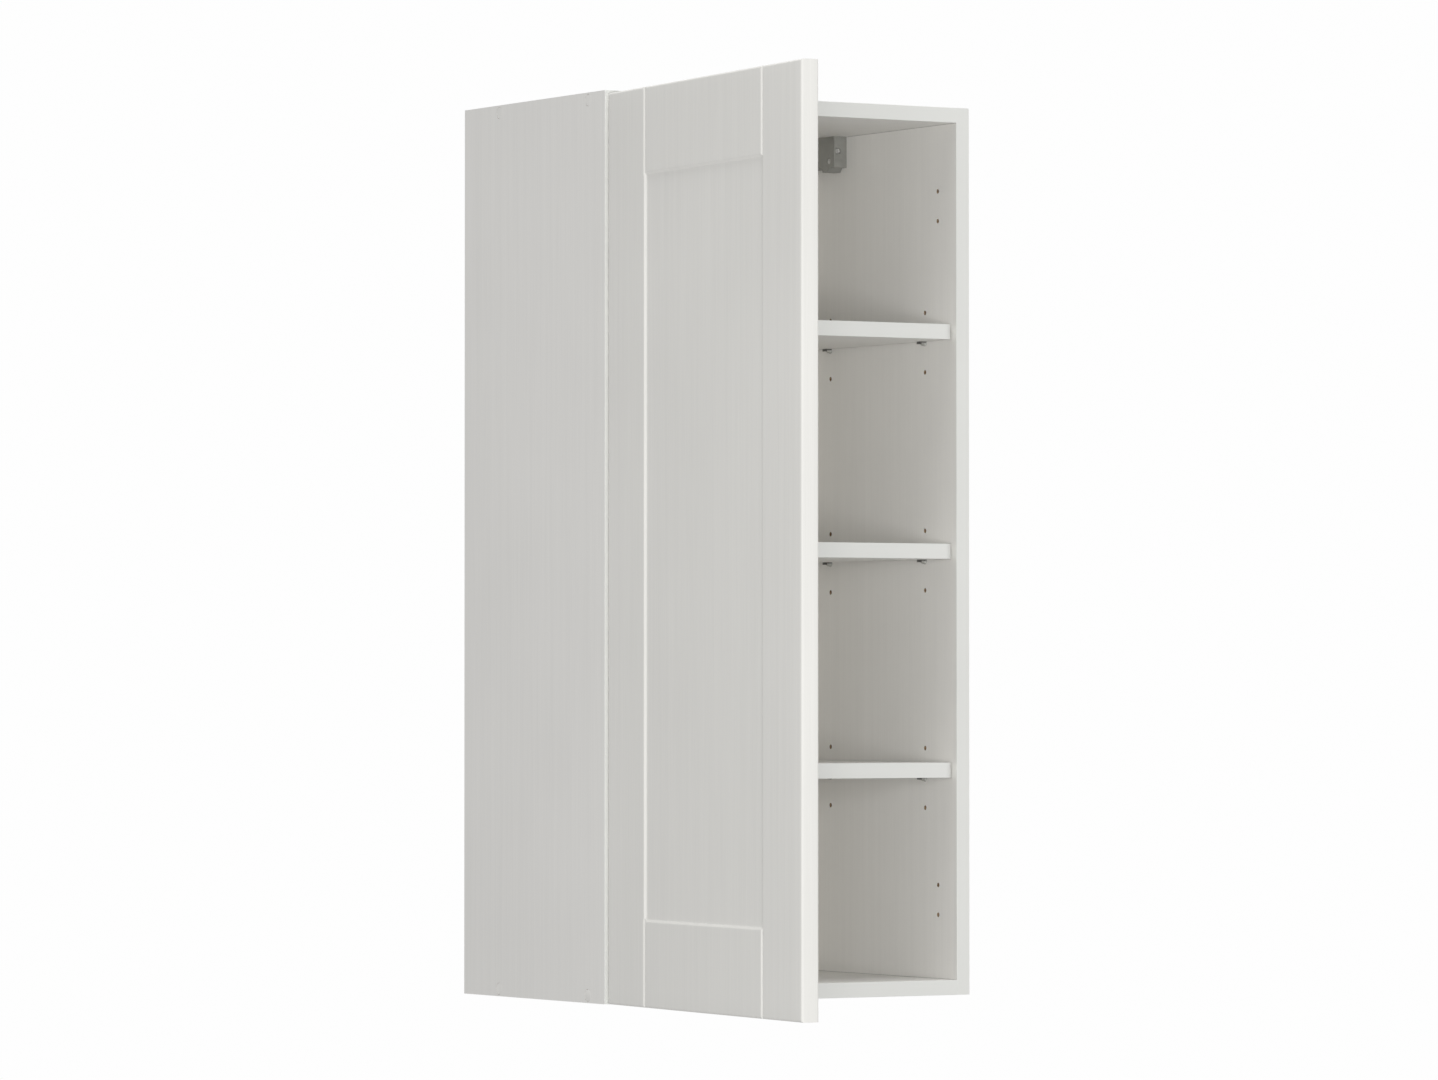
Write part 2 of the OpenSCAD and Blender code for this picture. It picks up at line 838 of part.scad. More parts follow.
// The inner link: a narrow bar between the cheeks, beside the web
module inner_link() {
    half_z = link_half_z - cheek_t - inner_gap;
    slope = atan2(link_bend.y, link_bend.x);
    side = link_half_w - web_t - inner_gap - inner_half_w;
    near = turned([inner_start, side], slope);
    bend = turned([norm(link_bend) - inner_bend_back, side], slope);
    tip = link_tip - inner_tip_back;
    difference() {
        translate([0, 0, -half_z]) linear_extrude(2 * half_z) {
            strip(near, bend, inner_half_w);
            strip(bend, tip, inner_half_w);
        }
        for (p = [near, tip])
            translate([p.x, p.y, -half_z - over]) cylinder(r = inner_hole_r, h = 2 * (half_z + over));
    }
}

module arm_pin() {
    translate([arm_pivot.x, arm_pivot.y, -arm_half_z]) cylinder(r = pin_r, h = 2 * arm_half_z);
    for (z = [-arm_half_z - rivet_t, arm_half_z])
        translate([arm_pivot.x, arm_pivot.y, z]) cylinder(r = rivet_r, h = rivet_t);
}

// The arm: a channel whose cheeks carry the pivot pin, screwed down on the mounting plate
module hinge_arm() {
    difference() {
        union() {
            for (z = [-arm_half_z, arm_half_z - arm_cheek])
                translate([0, 0, z]) linear_extrude(arm_cheek) {
                    polygon([[arm_pivot.x - arm_nose_r, arm_pivot.y], [arm_pivot.x + arm_nose_r, arm_pivot.y],
                        [arm_top_x, arm_neck], [arm_top_x, arm_len], [arm_base_x, arm_len],
                        [arm_base_x, arm_neck + wing_half_y]]);
                    translate(arm_pivot) circle(arm_nose_r);
                }
            block([arm_top_x - arm_web, arm_neck, -arm_half_z], [arm_top_x, arm_len, arm_half_z]);
        }
        translate([arm_pivot.x, arm_pivot.y, -arm_half_z - over])
            cylinder(r = pin_r + snug, h = 2 * (arm_half_z + over));
        for (y = adjust_y)
            along_x(arm_top_x - arm_web - over, y, 0, adjust_shank_r + clear, arm_web + 2 * over);
    }
}

// The mounting plate: a body under the arm and two wings with the screws of the drilled row
module mounting_plate() {
    difference() {
        union() {
            block([board_t, plate_front, -arm_half_z], [arm_base_x, plate_back, arm_half_z]);
            block([board_t, hinge_row_y - wing_half_y, wing_r - wing_half_z],
                [arm_base_x, hinge_row_y + wing_half_y, wing_half_z - wing_r]);
            for (z = [wing_r - wing_half_z, wing_half_z - wing_r])
                along_x(board_t, hinge_row_y, z, wing_half_y, plate_t);
        }
        for (z = [-plate_screw_z, plate_screw_z])
            along_x(board_t - over, hinge_row_y, z, plate_screw_r + clear, plate_t + 2 * over);
    }
}

module plate_screws() {
    for (z = [-plate_screw_z, plate_screw_z])
        translate([arm_base_x + plate_head_h, hinge_row_y, z]) rotate([0, -90, 0])
            crossed_screw(plate_head_r, plate_head_h, plate_screw_r, plate_t + row_hole_depth - over);
}

module adjusting_screws() {
    for (y = adjust_y)
        translate([arm_top_x + adjust_head_h, y, 0]) rotate([0, -90, 0])
            crossed_screw(adjust_head_r, adjust_head_h, adjust_shank_r, arm_top_x - arm_base_x);
}

module hinge_cup_lower() {
    color(steel) at_cup(hinge_heights[0]) hinge_cup();
}

module hinge_cup_upper() {
    color(steel) at_cup(hinge_heights[1]) hinge_cup();
}

module cup_screws_lower() {
    color(dark_steel) at_cup(hinge_heights[0]) cup_screws();
}

module cup_screws_upper() {
    color(dark_steel) at_cup(hinge_heights[1]) cup_screws();
}

module cup_pin_lower() {
    color(dark_steel) at_cup(hinge_heights[0]) cup_pin();
}

module cup_pin_upper() {
    color(dark_steel) at_cup(hinge_heights[1]) cup_pin();
}

module hinge_link_lower() {
    color(steel) at_link(hinge_heights[0]) hinge_link();
}

module hinge_link_upper() {
    color(steel) at_link(hinge_heights[1]) hinge_link();
}

module inner_link_lower() {
    color(dark_steel) at_link(hinge_heights[0]) inner_link();
}

module inner_link_upper() {
    color(dark_steel) at_link(hinge_heights[1]) inner_link();
}

module arm_pin_lower() {
    color(dark_steel) at_arm(hinge_heights[0]) arm_pin();
}

module arm_pin_upper() {
    color(dark_steel) at_arm(hinge_heights[1]) arm_pin();
}

module hinge_arm_lower() {
    color(steel) at_arm(hinge_heights[0]) hinge_arm();
}

module hinge_arm_upper() {
    color(steel) at_arm(hinge_heights[1]) hinge_arm();
}

module mounting_plate_lower() {
    color(steel) at_arm(hinge_heights[0]) mounting_plate();
}

module mounting_plate_upper() {
    color(steel) at_arm(hinge_heights[1]) mounting_plate();
}

module plate_screws_lower() {
    color(dark_steel) at_arm(hinge_heights[0]) plate_screws();
}

module plate_screws_upper() {
    color(dark_steel) at_arm(hinge_heights[1]) plate_screws();
}

module adjusting_screws_lower() {
    color(dark_steel) at_arm(hinge_heights[0]) adjusting_screws();
}

module adjusting_screws_upper() {
    color(dark_steel) at_arm(hinge_heights[1]) adjusting_screws();
}

side_left();
side_right();
top_panel();
bottom_panel();
back_panel();
edge_band_left();
edge_band_right();
edge_band_top();
edge_band_bottom();
carcass_screws();
screw_caps();
carcass_dowels();
shelf_lower();
shelf_middle();
shelf_upper();
shelf_band_lower();
shelf_band_middle();
shelf_band_upper();
shelf_supports_lower();
shelf_supports_middle();
shelf_supports_upper();
hanger_housing_left();
hanger_housing_right();
hanger_hook_left();
hanger_hook_right();
hanger_screws_left();
hanger_screws_right();
hanger_pegs();
door_panel();
door_buffers();
hinge_cup_lower();
hinge_cup_upper();
cup_screws_lower();
cup_screws_upper();
cup_pin_lower();
cup_pin_upper();
hinge_link_lower();
hinge_link_upper();
inner_link_lower();
inner_link_upper();
arm_pin_lower();
arm_pin_upper();
hinge_arm_lower();
hinge_arm_upper();
mounting_plate_lower();
mounting_plate_upper();
plate_screws_lower();
plate_screws_upper();
adjusting_screws_lower();
adjusting_screws_upper();
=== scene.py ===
"""A wall cabinet with one open framed door: finishes, a soft-edged door leaf and a photo studio."""

import json
import math

import bmesh
import bpy
import numpy as np
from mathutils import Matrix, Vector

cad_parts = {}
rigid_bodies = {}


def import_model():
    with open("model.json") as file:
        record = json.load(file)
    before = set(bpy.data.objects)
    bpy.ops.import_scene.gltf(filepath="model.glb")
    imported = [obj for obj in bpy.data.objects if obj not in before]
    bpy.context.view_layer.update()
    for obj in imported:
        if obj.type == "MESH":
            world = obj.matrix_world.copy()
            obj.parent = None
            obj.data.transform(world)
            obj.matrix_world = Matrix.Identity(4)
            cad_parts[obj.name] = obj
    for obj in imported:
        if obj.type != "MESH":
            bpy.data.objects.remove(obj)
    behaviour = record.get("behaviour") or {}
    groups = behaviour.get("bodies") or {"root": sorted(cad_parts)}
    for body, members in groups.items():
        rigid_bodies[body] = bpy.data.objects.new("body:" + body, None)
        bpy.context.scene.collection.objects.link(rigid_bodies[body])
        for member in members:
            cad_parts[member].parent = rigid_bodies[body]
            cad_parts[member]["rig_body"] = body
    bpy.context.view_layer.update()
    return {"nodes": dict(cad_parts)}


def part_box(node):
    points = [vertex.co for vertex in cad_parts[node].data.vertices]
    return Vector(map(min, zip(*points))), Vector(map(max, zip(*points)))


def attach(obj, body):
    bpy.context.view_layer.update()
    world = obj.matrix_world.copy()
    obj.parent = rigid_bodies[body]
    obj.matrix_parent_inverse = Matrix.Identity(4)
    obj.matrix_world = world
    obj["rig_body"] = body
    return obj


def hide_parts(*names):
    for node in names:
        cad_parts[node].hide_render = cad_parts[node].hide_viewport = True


bl_info = {
    "name": "Wall cabinet finish",
    "version": (1, 0, 0),
    "blender": (4, 5, 0),
    "location": "3D View > Sidebar > Cabinet",
    "description": "Finishes a wall cabinet with one framed door and sets it in a studio",
    "category": "Object",
}

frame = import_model()

MM = 0.001

# The face corner of the door's hinged edge, at its lower end, as the door stands open
DOOR_CORNER = (-222.9 * MM, -303.0 * MM, 0.2 * MM)
# Thickness at the door's back that the foil doesn't reach
FOIL_STOP = 0.9 * MM

# Endings of the names of the two hinges, the three shelves and the two hangers
ENDS = ("lower", "upper")
LEVELS = ("lower", "middle", "upper")
SIDES = ("left", "right")

# The photograph's camera: a long lens, turned to the right and a little up
PHOTO_WIDTH = 1438
FOCAL_PIXELS = 6988.06
CAMERA_YAW = math.radians(31.01927)
CAMERA_PITCH = math.radians(1.2072)
CAMERA_PLACE = (-3.85173, -6.56072, 0.32786)
SENSOR_WIDTH = 36.0

# Soft panels of light: name, place, aim, side and power; and the even light from above and from below
LAMPS = (
    ("main_panel", (-2.0, -4.2, 0.3), (0.0, -0.2, 0.47), 1.2, 59.0),
    ("left_panel", (-2.6, -3.75, 0.3), (0.0, -0.2, 0.47), 1.0, 24.0),
    ("top_panel", (-0.3, -0.5, 7.0), (0.0, -0.2, 0.47), 5.0, 330.0),
    ("right_panel", (3.0, -3.6, 0.5), (0.0, -0.2, 0.47), 2.2, 5.0),
    ("rear_panel", (3.6, 2.4, 1.2), (0.0, -0.2, 0.47), 2.6, 70.0),
)
AMBIENT = (0.37, 0.50)

FLOOR_HEIGHT = -0.75
FLOOR_RADIUS = 4.0

# Strength of the background as the camera sees it
WHITE = 0.99

# Roughness of each finish, and of the bare core in a board's holes and of the fibre behind the back
ROUGHNESS = {
    "board": 0.42, "core": 0.9, "band": 0.36, "back": 0.5, "fibre": 0.85, "foil": 0.6,
    "bumper": 0.18, "hinge": 0.27, "pin": 0.2, "support": 0.4, "hanger": 0.45, "hook": 0.34,
    "hanger_screw": 0.32, "cap": 0.4, "zinc": 0.32, "beech": 0.65, "floor": 0.7,
}

# Colours of what is hidden or small: dark and light chips, pressed fibre, dowels, bumpers and screws
CHIPS = ((0.18, 0.12, 0.07, 1), (0.46, 0.33, 0.20, 1))
FIBRE = (0.31, 0.205, 0.12)
BEECH = (0.55, 0.36, 0.2)
CLEAR = (0.93, 0.94, 0.94)
SCREW_ZINC = (0.56, 0.56, 0.55)
FLOOR_COLOUR = (0.86, 0.86, 0.85)


# Meshes

def grid_quads(rows, columns):
    """Quads between neighbouring points of a rows by columns grid, as one index array."""
    first = np.arange(rows - 1)[:, None] * columns + np.arange(columns - 1)[None, :]
    return np.stack([first, first + 1, first + columns + 1, first + columns], -1).reshape(-1, 4)


def weld(points, quads):
    """Points nearer than a ten thousandth of a millimetre become one, and quads that lose a corner
    become triangles."""
    keys = np.round(points * 1e7).astype(np.int64)
    _, first, place = np.unique(keys, axis=0, return_index=True, return_inverse=True)
    quads = place.reshape(-1)[quads]
    same = quads == np.roll(quads, -1, axis=1)
    whole = quads[~same.any(axis=1)]
    faces = whole.tolist()
    for quad in quads[same.any(axis=1)]:
        corners = list(dict.fromkeys(quad.tolist()))
        if len(corners) == 3:
            faces.append(corners)
    return points[first], faces


def make_piece(name, patches, material, sharp_degrees=40):
    """One mesh from patches of (points grid, flip), welded along their shared edges."""
    points = []
    quads = []
    count = 0
    for grid, flip in patches:
        rows, columns = grid.shape[:2]
        faces = grid_quads(rows, columns) + count
        quads.append(faces[:, ::-1] if flip else faces)
        points.append(grid.reshape(-1, 3))
        count += rows * columns
    vertices, faces = weld(np.concatenate(points), np.concatenate(quads))
    mesh = bpy.data.meshes.new(name)
    mesh.from_pydata(vertices.tolist(), [], faces)
    mesh.shade_smooth()
    mesh.set_sharp_from_angle(angle=math.radians(sharp_degrees))
    mesh.materials.append(material)
    piece = bpy.data.objects.new(name, mesh)
    bpy.context.scene.collection.objects.link(piece)
    return piece


def turned_inwards(grid):
    """Whether a closed grid's quads enclose a negative volume, from the triangles' triple products."""
    points = grid.reshape(-1, 3) - grid.reshape(-1, 3).mean(axis=0)
    a, b, c, d = (points[corner] for corner in grid_quads(*grid.shape[:2]).T)
    return float((a * np.cross(b, c) + a * np.cross(c, d)).sum()) < 0


def make_solids(name, grids, material, sharp_degrees=40):
    """One mesh from closed grids, each with its faces turned outwards."""
    return make_piece(name, [(grid, turned_inwards(grid)) for grid in grids], material, sharp_degrees)


def closed_ring(points):
    """A ring of points with its first point again at its end."""
    return np.concatenate([points, points[:1]])


def turned_shape(profile, centre, outward, segments=40):
    """A profile of (distance along X, radius) carried round an axis along X through a centre. Outward is
    the sign of X that the distance counts in."""
    turn = np.linspace(0, 2 * np.pi, segments + 1)
    along = np.broadcast_to(profile[:, :1], (len(profile), segments + 1))
    ring = profile[:, 1:] * np.ones(segments + 1)
    grid = np.stack([outward * along, ring * np.cos(turn), ring * np.sin(turn)], -1)
    return grid + np.array(centre)


def bent_strip(path, thickness, width, rounding):
    """A rounded rectangle carried along a path in the XZ plane: each point is the path's point, plus the
    section's height along the path's normal and its width along Y. The ends close to the path."""
    ahead = np.gradient(path, axis=0)
    ahead /= np.linalg.norm(ahead, axis=1, keepdims=True)
    normal = np.stack([-ahead[:, 1], ahead[:, 0]], -1)
    section = rounded_rectangle(width, thickness, rounding)
    rings = path[:, None, :] + normal[:, None, :] * section[None, :, 1:]
    across = np.broadcast_to(section[None, :, 0], rings.shape[:2])
    grid = np.stack([rings[..., 0], across, rings[..., 1]], -1)
    return close_ends(grid)


def rounded_rectangle(width, height, rounding):
    """A closed loop of (across, up): four quarter rounds joined by straight sides."""
    turn = np.linspace(0, np.pi / 2, 4)
    loops = []
    for quarter, (x, z) in enumerate(((1, 1), (-1, 1), (-1, -1), (1, -1))):
        centre = np.array([x * (width / 2 - rounding), z * (height / 2 - rounding)])
        angle = turn + quarter * np.pi / 2
        loops.append(centre + rounding * np.stack([np.cos(angle), np.sin(angle)], -1))
    return closed_ring(np.concatenate(loops))


def close_ends(grid):
    """Adds the middle point of the first and the last ring, so that both ends close."""
    first = np.broadcast_to(grid[0, :-1].mean(axis=0), grid[0].shape)
    last = np.broadcast_to(grid[-1, :-1].mean(axis=0), grid[-1].shape)
    return np.concatenate([first[None], grid, last[None]])


def eased_plate(outline, thickness, ease):
    """A flat plate in the XZ plane from a convex outline, centred on Y, with its two rims eased: the
    outline shrinks towards its middle over the ease at each face."""
    middle = outline.mean(axis=0)
    reach = np.linalg.norm(outline - middle, axis=1, keepdims=True)
    small = middle + (outline - middle) * (1 - ease / reach)
    rings = []
    for flat, y in ((small, -thickness / 2), (outline, ease - thickness / 2),
                    (outline, thickness / 2 - ease), (small, thickness / 2)):
        ring = closed_ring(flat)
        rings.append(np.stack([ring[:, 0], np.full(len(ring), y), ring[:, 1]], -1))
    return close_ends(np.stack(rings))


def replace_node(piece, name):
    """Puts a piece in the place of a construction node: it hides the node, and the piece rides on the same
    body.
    """
    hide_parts(name)
    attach(piece, frame["nodes"][name]["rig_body"])


def soften(name, rounding, material):
    """A copy of a construction node whose corners are joined, whose flat faces are made whole and whose
    arrises are rounded by a bevel."""
    mesh = frame["nodes"][name].data.copy()
    work = bmesh.new()
    work.from_mesh(mesh)
    bmesh.ops.remove_doubles(work, verts=work.verts, dist=MM / 1000)
    bmesh.ops.dissolve_limit(work, angle_limit=math.radians(0.4), verts=work.verts, edges=work.edges)
    work.to_mesh(mesh)
    work.free()
    mesh.materials.clear()
    mesh.materials.append(material)
    mesh.shade_smooth()
    piece = bpy.data.objects.new(name + "_eased", mesh)
    bpy.context.scene.collection.objects.link(piece)
    bevel = piece.modifiers.new("arris", "BEVEL")
    bevel.width = rounding
    bevel.segments = 2
    bevel.limit_method = "ANGLE"
    bevel.angle_limit = math.radians(35)
    bevel.harden_normals = True
    replace_node(piece, name)
    return piece


# Shader nodes

def add_node(tree, kind, inputs=None, **settings):
    """A node with its settings, and its inputs given as values or as sockets to wire in."""
    made = tree.nodes.new(kind)
    for key, value in settings.items():
        setattr(made, key, value)
    for key, value in (inputs or {}).items():
        if isinstance(value, bpy.types.NodeSocket):
            tree.links.new(value, made.inputs[key])
        else:
            made.inputs[key].default_value = value
    return made


def new_group(name, inputs, outputs):
    """An empty shader group with named sockets, and its input and output nodes."""
    tree = bpy.data.node_groups.new(name, "ShaderNodeTree")
    for label, kind, value in inputs:
        socket = tree.interface.new_socket(name=label, in_out="INPUT", socket_type=kind)
        socket.default_value = value
    for label, kind in outputs:
        tree.interface.new_socket(name=label, in_out="OUTPUT", socket_type=kind)
    return tree, tree.nodes.new("NodeGroupInput"), tree.nodes.new("NodeGroupOutput")


def maths(tree, operation, a, b=0.0, c=0.0):
    """One sum or comparison of values."""
    return add_node(tree, "ShaderNodeMath", {0: a, 1: b, 2: c}, operation=operation).outputs[0]


def vectors(tree, operation, a, b):
    """One sum or comparison of vectors, part by part."""
    return add_node(tree, "ShaderNodeVectorMath", {0: a, 1: b}, operation=operation).outputs[0]


def axes_of(tree, point):
    """The X, Y and Z of a point."""
    return add_node(tree, "ShaderNodeSeparateXYZ", {0: point}).outputs


def mixed(tree, share, a, b, kind="FLOAT"):
    """The first of two where the share is nought, the second where it is one."""
    mix = add_node(tree, "ShaderNodeMix", {"Factor": share, "A": a, "B": b}, data_type=kind)
    return mix.outputs["Result"]


def remap(tree, value, low, high, to_low, to_high):
    """A value carried from one range to another, and held at its ends."""
    return add_node(tree, "ShaderNodeMapRange", {
        "Value": value, "From Min": low, "From Max": high, "To Min": to_low, "To Max": to_high,
    }).outputs[0]


def stretched(tree, point, scale):
    """A point with each axis multiplied by its own scale."""
    return vectors(tree, "MULTIPLY", point, scale)


def noise(tree, point, scale, detail=2.0, roughness=0.5):
    """Soft noise about a half."""
    return add_node(tree, "ShaderNodeTexNoise", {
        "Vector": point, "Scale": scale, "Detail": detail, "Roughness": roughness,
    }).outputs["Fac"]


def core_group():
    """Where a board's cut shows its core: deeper than the skin behind its faces, and on its back edge."""
    tree, entry, out = new_group("Board core", [
        ("Point", "NodeSocketVector", (0, 0, 0)), ("Low", "NodeSocketVector", (0, 0, 0)),
        ("High", "NodeSocketVector", (1, 1, 1)), ("Skin", "NodeSocketFloat", 0.00025),
    ], [("Core", "NodeSocketFloat")])
    point = entry.outputs["Point"]
    from_low = vectors(tree, "SUBTRACT", point, entry.outputs["Low"])
    to_high = vectors(tree, "SUBTRACT", entry.outputs["High"], point)
    nearest = axes_of(tree, vectors(tree, "MINIMUM", from_low, to_high))
    depth = maths(tree, "MINIMUM", nearest["X"], nearest["Z"])
    tree.links.new(maths(tree, "GREATER_THAN", depth, entry.outputs["Skin"]), out.inputs["Core"])
    return tree


def chipboard_group():
    """Pressed wood chips: cells of light and dark brown with pits between them."""
    tree, entry, out = new_group("Chipboard", [("Point", "NodeSocketVector", (0, 0, 0))],
                                 [("Color", "NodeSocketColor"), ("Height", "NodeSocketFloat")])
    chips = add_node(tree, "ShaderNodeTexVoronoi", {"Vector": entry.outputs["Point"], "Scale": 700.0})
    tone = add_node(tree, "ShaderNodeSeparateColor", {0: chips.outputs["Color"]}).outputs[0]
    tree.links.new(mixed(tree, tone, *CHIPS, "RGBA"), out.inputs["Color"])
    tree.links.new(maths(tree, "SUBTRACT", 1.0, chips.outputs["Distance"]), out.inputs["Height"])
    return tree


def joint_shade_group():
    """Painted shade where two boards meet: a tone under one within a width of the meeting plane,
    for the shadow in the hairline between the boards.
    """
    tree, entry, out = new_group("Painted joint shade", [
        ("Distance", "NodeSocketFloat", 1.0), ("Width", "NodeSocketFloat", 0.0006),
    ], [("Tone", "NodeSocketFloat")])
    tree.links.new(remap(tree, entry.outputs["Distance"], 0.0, entry.outputs["Width"], 0.35, 1.0),
                   out.inputs["Tone"])
    return tree


def skin_group():
    """A pressed melamine or foil skin: slow drift in tone, a faint orange peel and uneven gloss."""
    tree, entry, out = new_group("Pressed skin", [
        ("Point", "NodeSocketVector", (0, 0, 0)), ("Peel scale", "NodeSocketFloat", 420.0),
    ], [("Tone", "NodeSocketFloat"), ("Gloss", "NodeSocketFloat"), ("Height", "NodeSocketFloat")])
    point = entry.outputs["Point"]
    tree.links.new(remap(tree, noise(tree, point, 5.0), 0.3, 0.7, 0.985, 1.015), out.inputs["Tone"])
    tree.links.new(remap(tree, noise(tree, point, 28.0, 4.0), 0.3, 0.7, -0.03, 0.04), out.inputs["Gloss"])
    tree.links.new(noise(tree, point, entry.outputs["Peel scale"], 2.0), out.inputs["Height"])
    return tree


def grain_group():
    """Upright grain printed and pressed in foil: long fine streaks, with broader bands under them."""
    tree, entry, out = new_group("Upright grain", [("Point", "NodeSocketVector", (0, 0, 0))],
                                 [("Tone", "NodeSocketFloat"), ("Height", "NodeSocketFloat")])
    point = entry.outputs["Point"]
    fine = noise(tree, stretched(tree, point, (900.0, 900.0, 9.0)), 1.0, 3.0, 0.6)
    broad = noise(tree, stretched(tree, point, (120.0, 120.0, 1.6)), 1.0, 2.0)
    both = maths(tree, "ADD", maths(tree, "MULTIPLY", fine, 0.6), maths(tree, "MULTIPLY", broad, 0.4))
    tree.links.new(remap(tree, both, 0.35, 0.65, 0.975, 1.02), out.inputs["Tone"])
    tree.links.new(both, out.inputs["Height"])
    return tree


def metal_group():
    """Plated sheet: fine drawn lines along Y under a soft cloudiness from the bath."""
    tree, entry, out = new_group("Plated sheet", [("Point", "NodeSocketVector", (0, 0, 0))],
                                 [("Tone", "NodeSocketFloat"), ("Gloss", "NodeSocketFloat"),
                                  ("Height", "NodeSocketFloat")])
    point = entry.outputs["Point"]
    lines = noise(tree, stretched(tree, point, (5000.0, 260.0, 5000.0)), 1.0, 3.0, 0.6)
    clouds = noise(tree, point, 90.0, 4.0)
    tree.links.new(remap(tree, clouds, 0.3, 0.7, 0.9, 1.06), out.inputs["Tone"])
    tree.links.new(remap(tree, clouds, 0.3, 0.7, -0.05, 0.08), out.inputs["Gloss"])
    tree.links.new(lines, out.inputs["Height"])
    return tree


def moulded_group():
    """Moulded plastic: a fine spark-eroded texture and a faint flow of tone."""
    tree, entry, out = new_group("Moulded plastic", [("Point", "NodeSocketVector", (0, 0, 0))],
                                 [("Tone", "NodeSocketFloat"), ("Height", "NodeSocketFloat")])
    point = entry.outputs["Point"]
    tree.links.new(remap(tree, noise(tree, point, 60.0, 3.0), 0.3, 0.7, 0.94, 1.06), out.inputs["Tone"])
    tree.links.new(noise(tree, point, 2600.0, 2.0), out.inputs["Height"])
    return tree


GROUP_MAKERS = {
    "joint": joint_shade_group, "core": core_group, "chipboard": chipboard_group, "skin": skin_group,
    "grain": grain_group, "metal": metal_group, "moulded": moulded_group,
}
made_groups = {}


def place_group(tree, name, inputs):
    """A shared effect, made the first time that it is asked for, placed in a material."""
    if name not in made_groups:
        made_groups[name] = GROUP_MAKERS[name]()
    return add_node(tree, "ShaderNodeGroup", inputs, node_tree=made_groups[name]).outputs


def new_material(name, **constants):
    """A Principled material with its constant sockets set, its tree, shader and object coordinates."""
    material = bpy.data.materials.new(name)
    material.use_nodes = True
    tree = material.node_tree
    shader = tree.nodes["Principled BSDF"]
    for key, value in constants.items():
        shader.inputs[key.replace("_", " ")].default_value = value
    point = tree.nodes.new("ShaderNodeTexCoord").outputs["Object"]
    return material, tree, shader, point


def tinted(tree, colour, tone):
    """A colour made lighter or darker by a tone near one."""
    scaled = add_node(tree, "ShaderNodeVectorMath", {0: tuple(colour), "Scale": tone}, operation="SCALE")
    return scaled.outputs[0]


def bumped(tree, shader, height, strength, distance):
    """Raises a shader's surface by a height, over a distance in metres."""
    bump = add_node(tree, "ShaderNodeBump", {"Height": height, "Strength": strength, "Distance": distance})
    tree.links.new(bump.outputs["Normal"], shader.inputs["Normal"])


def board_material(name, node, colour, level=False, joints=()):
    """White melamine with chipboard in every hole, groove and back edge of that board. Its grain runs up,
    or along X in a level board. Joints are (axis, place) planes where a board meets its inner face; along
    them a dark hairline of painted shade stands in for the shadow in the corner between the boards."""
    material, tree, shader, point = new_material(name, IOR=1.5)
    low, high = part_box(node)
    axes = axes_of(tree, point)
    core = place_group(tree, "core", {"Point": point, "Low": tuple(low), "High": tuple(high)})["Core"]
    chips = place_group(tree, "chipboard", {"Point": point})
    skin = place_group(tree, "skin", {"Point": point})
    lengthwise = point
    if level:
        turned = add_node(tree, "ShaderNodeCombineXYZ", {0: axes["Z"], 1: axes["Y"], 2: axes["X"]})
        lengthwise = turned.outputs[0]
    grain = place_group(tree, "grain", {"Point": lengthwise})
    tone = maths(tree, "MULTIPLY", skin["Tone"], grain["Tone"])
    # Painted shade: a dark hairline along each plane where two boards meet, for the shadow in their corner
    if joints:
        distance = 1.0
        for axis, place in joints:
            away = maths(tree, "ABSOLUTE", maths(tree, "SUBTRACT", axes[axis], place))
            distance = maths(tree, "MINIMUM", distance, away)
        if not level:
            inner = min(abs(low.x), abs(high.x)) + MM
            outside = maths(tree, "GREATER_THAN", maths(tree, "ABSOLUTE", axes["X"]), inner)
            distance = maths(tree, "ADD", distance, outside)
        tone = maths(tree, "MULTIPLY", tone, place_group(tree, "joint", {"Distance": distance})["Tone"])
    white = tinted(tree, colour, tone)
    tree.links.new(mixed(tree, core, white, chips["Color"], "RGBA"), shader.inputs["Base Color"])
    matt = mixed(tree, core, maths(tree, "ADD", skin["Gloss"], ROUGHNESS["board"]), ROUGHNESS["core"])
    tree.links.new(matt, shader.inputs["Roughness"])
    height = mixed(tree, core, maths(tree, "MULTIPLY", skin["Height"], 0.02), chips["Height"])
    bumped(tree, shader, height, 0.5, 0.4 * MM)
    return material


def band_material(colour):
    """Edge band: the board's white, a little brighter and smoother."""
    material, tree, shader, point = new_material("edge_band", IOR=1.5)
    skin = place_group(tree, "skin", {"Point": point, "Peel scale": 900.0})
    tree.links.new(tinted(tree, colour, skin["Tone"]), shader.inputs["Base Color"])
    tree.links.new(maths(tree, "ADD", skin["Gloss"], ROUGHNESS["band"]), shader.inputs["Roughness"])
    bumped(tree, shader, skin["Height"], 0.3, 0.02 * MM)
    return material


def back_material(colour):
    """Back panel: white lacquer on the room side, brown pressed fibre behind."""
    material, tree, shader, point = new_material("back_panel", IOR=1.5)
    lacquer = 0.3 * MM
    skin = place_group(tree, "skin", {"Point": point, "Peel scale": 300.0})
    behind = maths(tree, "GREATER_THAN", axes_of(tree, point)["Y"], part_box("back_panel")[0].y + lacquer)
    fibres = noise(tree, stretched(tree, point, (260.0, 260.0, 90.0)), 1.0, 5.0, 0.7)
    white = tinted(tree, colour, skin["Tone"])
    brown = tinted(tree, FIBRE, remap(tree, fibres, 0.3, 0.7, 0.72, 1.3))
    tree.links.new(mixed(tree, behind, white, brown, "RGBA"), shader.inputs["Base Color"])
    matt = mixed(tree, behind, maths(tree, "ADD", skin["Gloss"], ROUGHNESS["back"]), ROUGHNESS["fibre"])
    tree.links.new(matt, shader.inputs["Roughness"])
    height = mixed(tree, behind, maths(tree, "MULTIPLY", skin["Height"], 0.05), fibres)
    bumped(tree, shader, height, 0.5, 0.15 * MM)
    return material


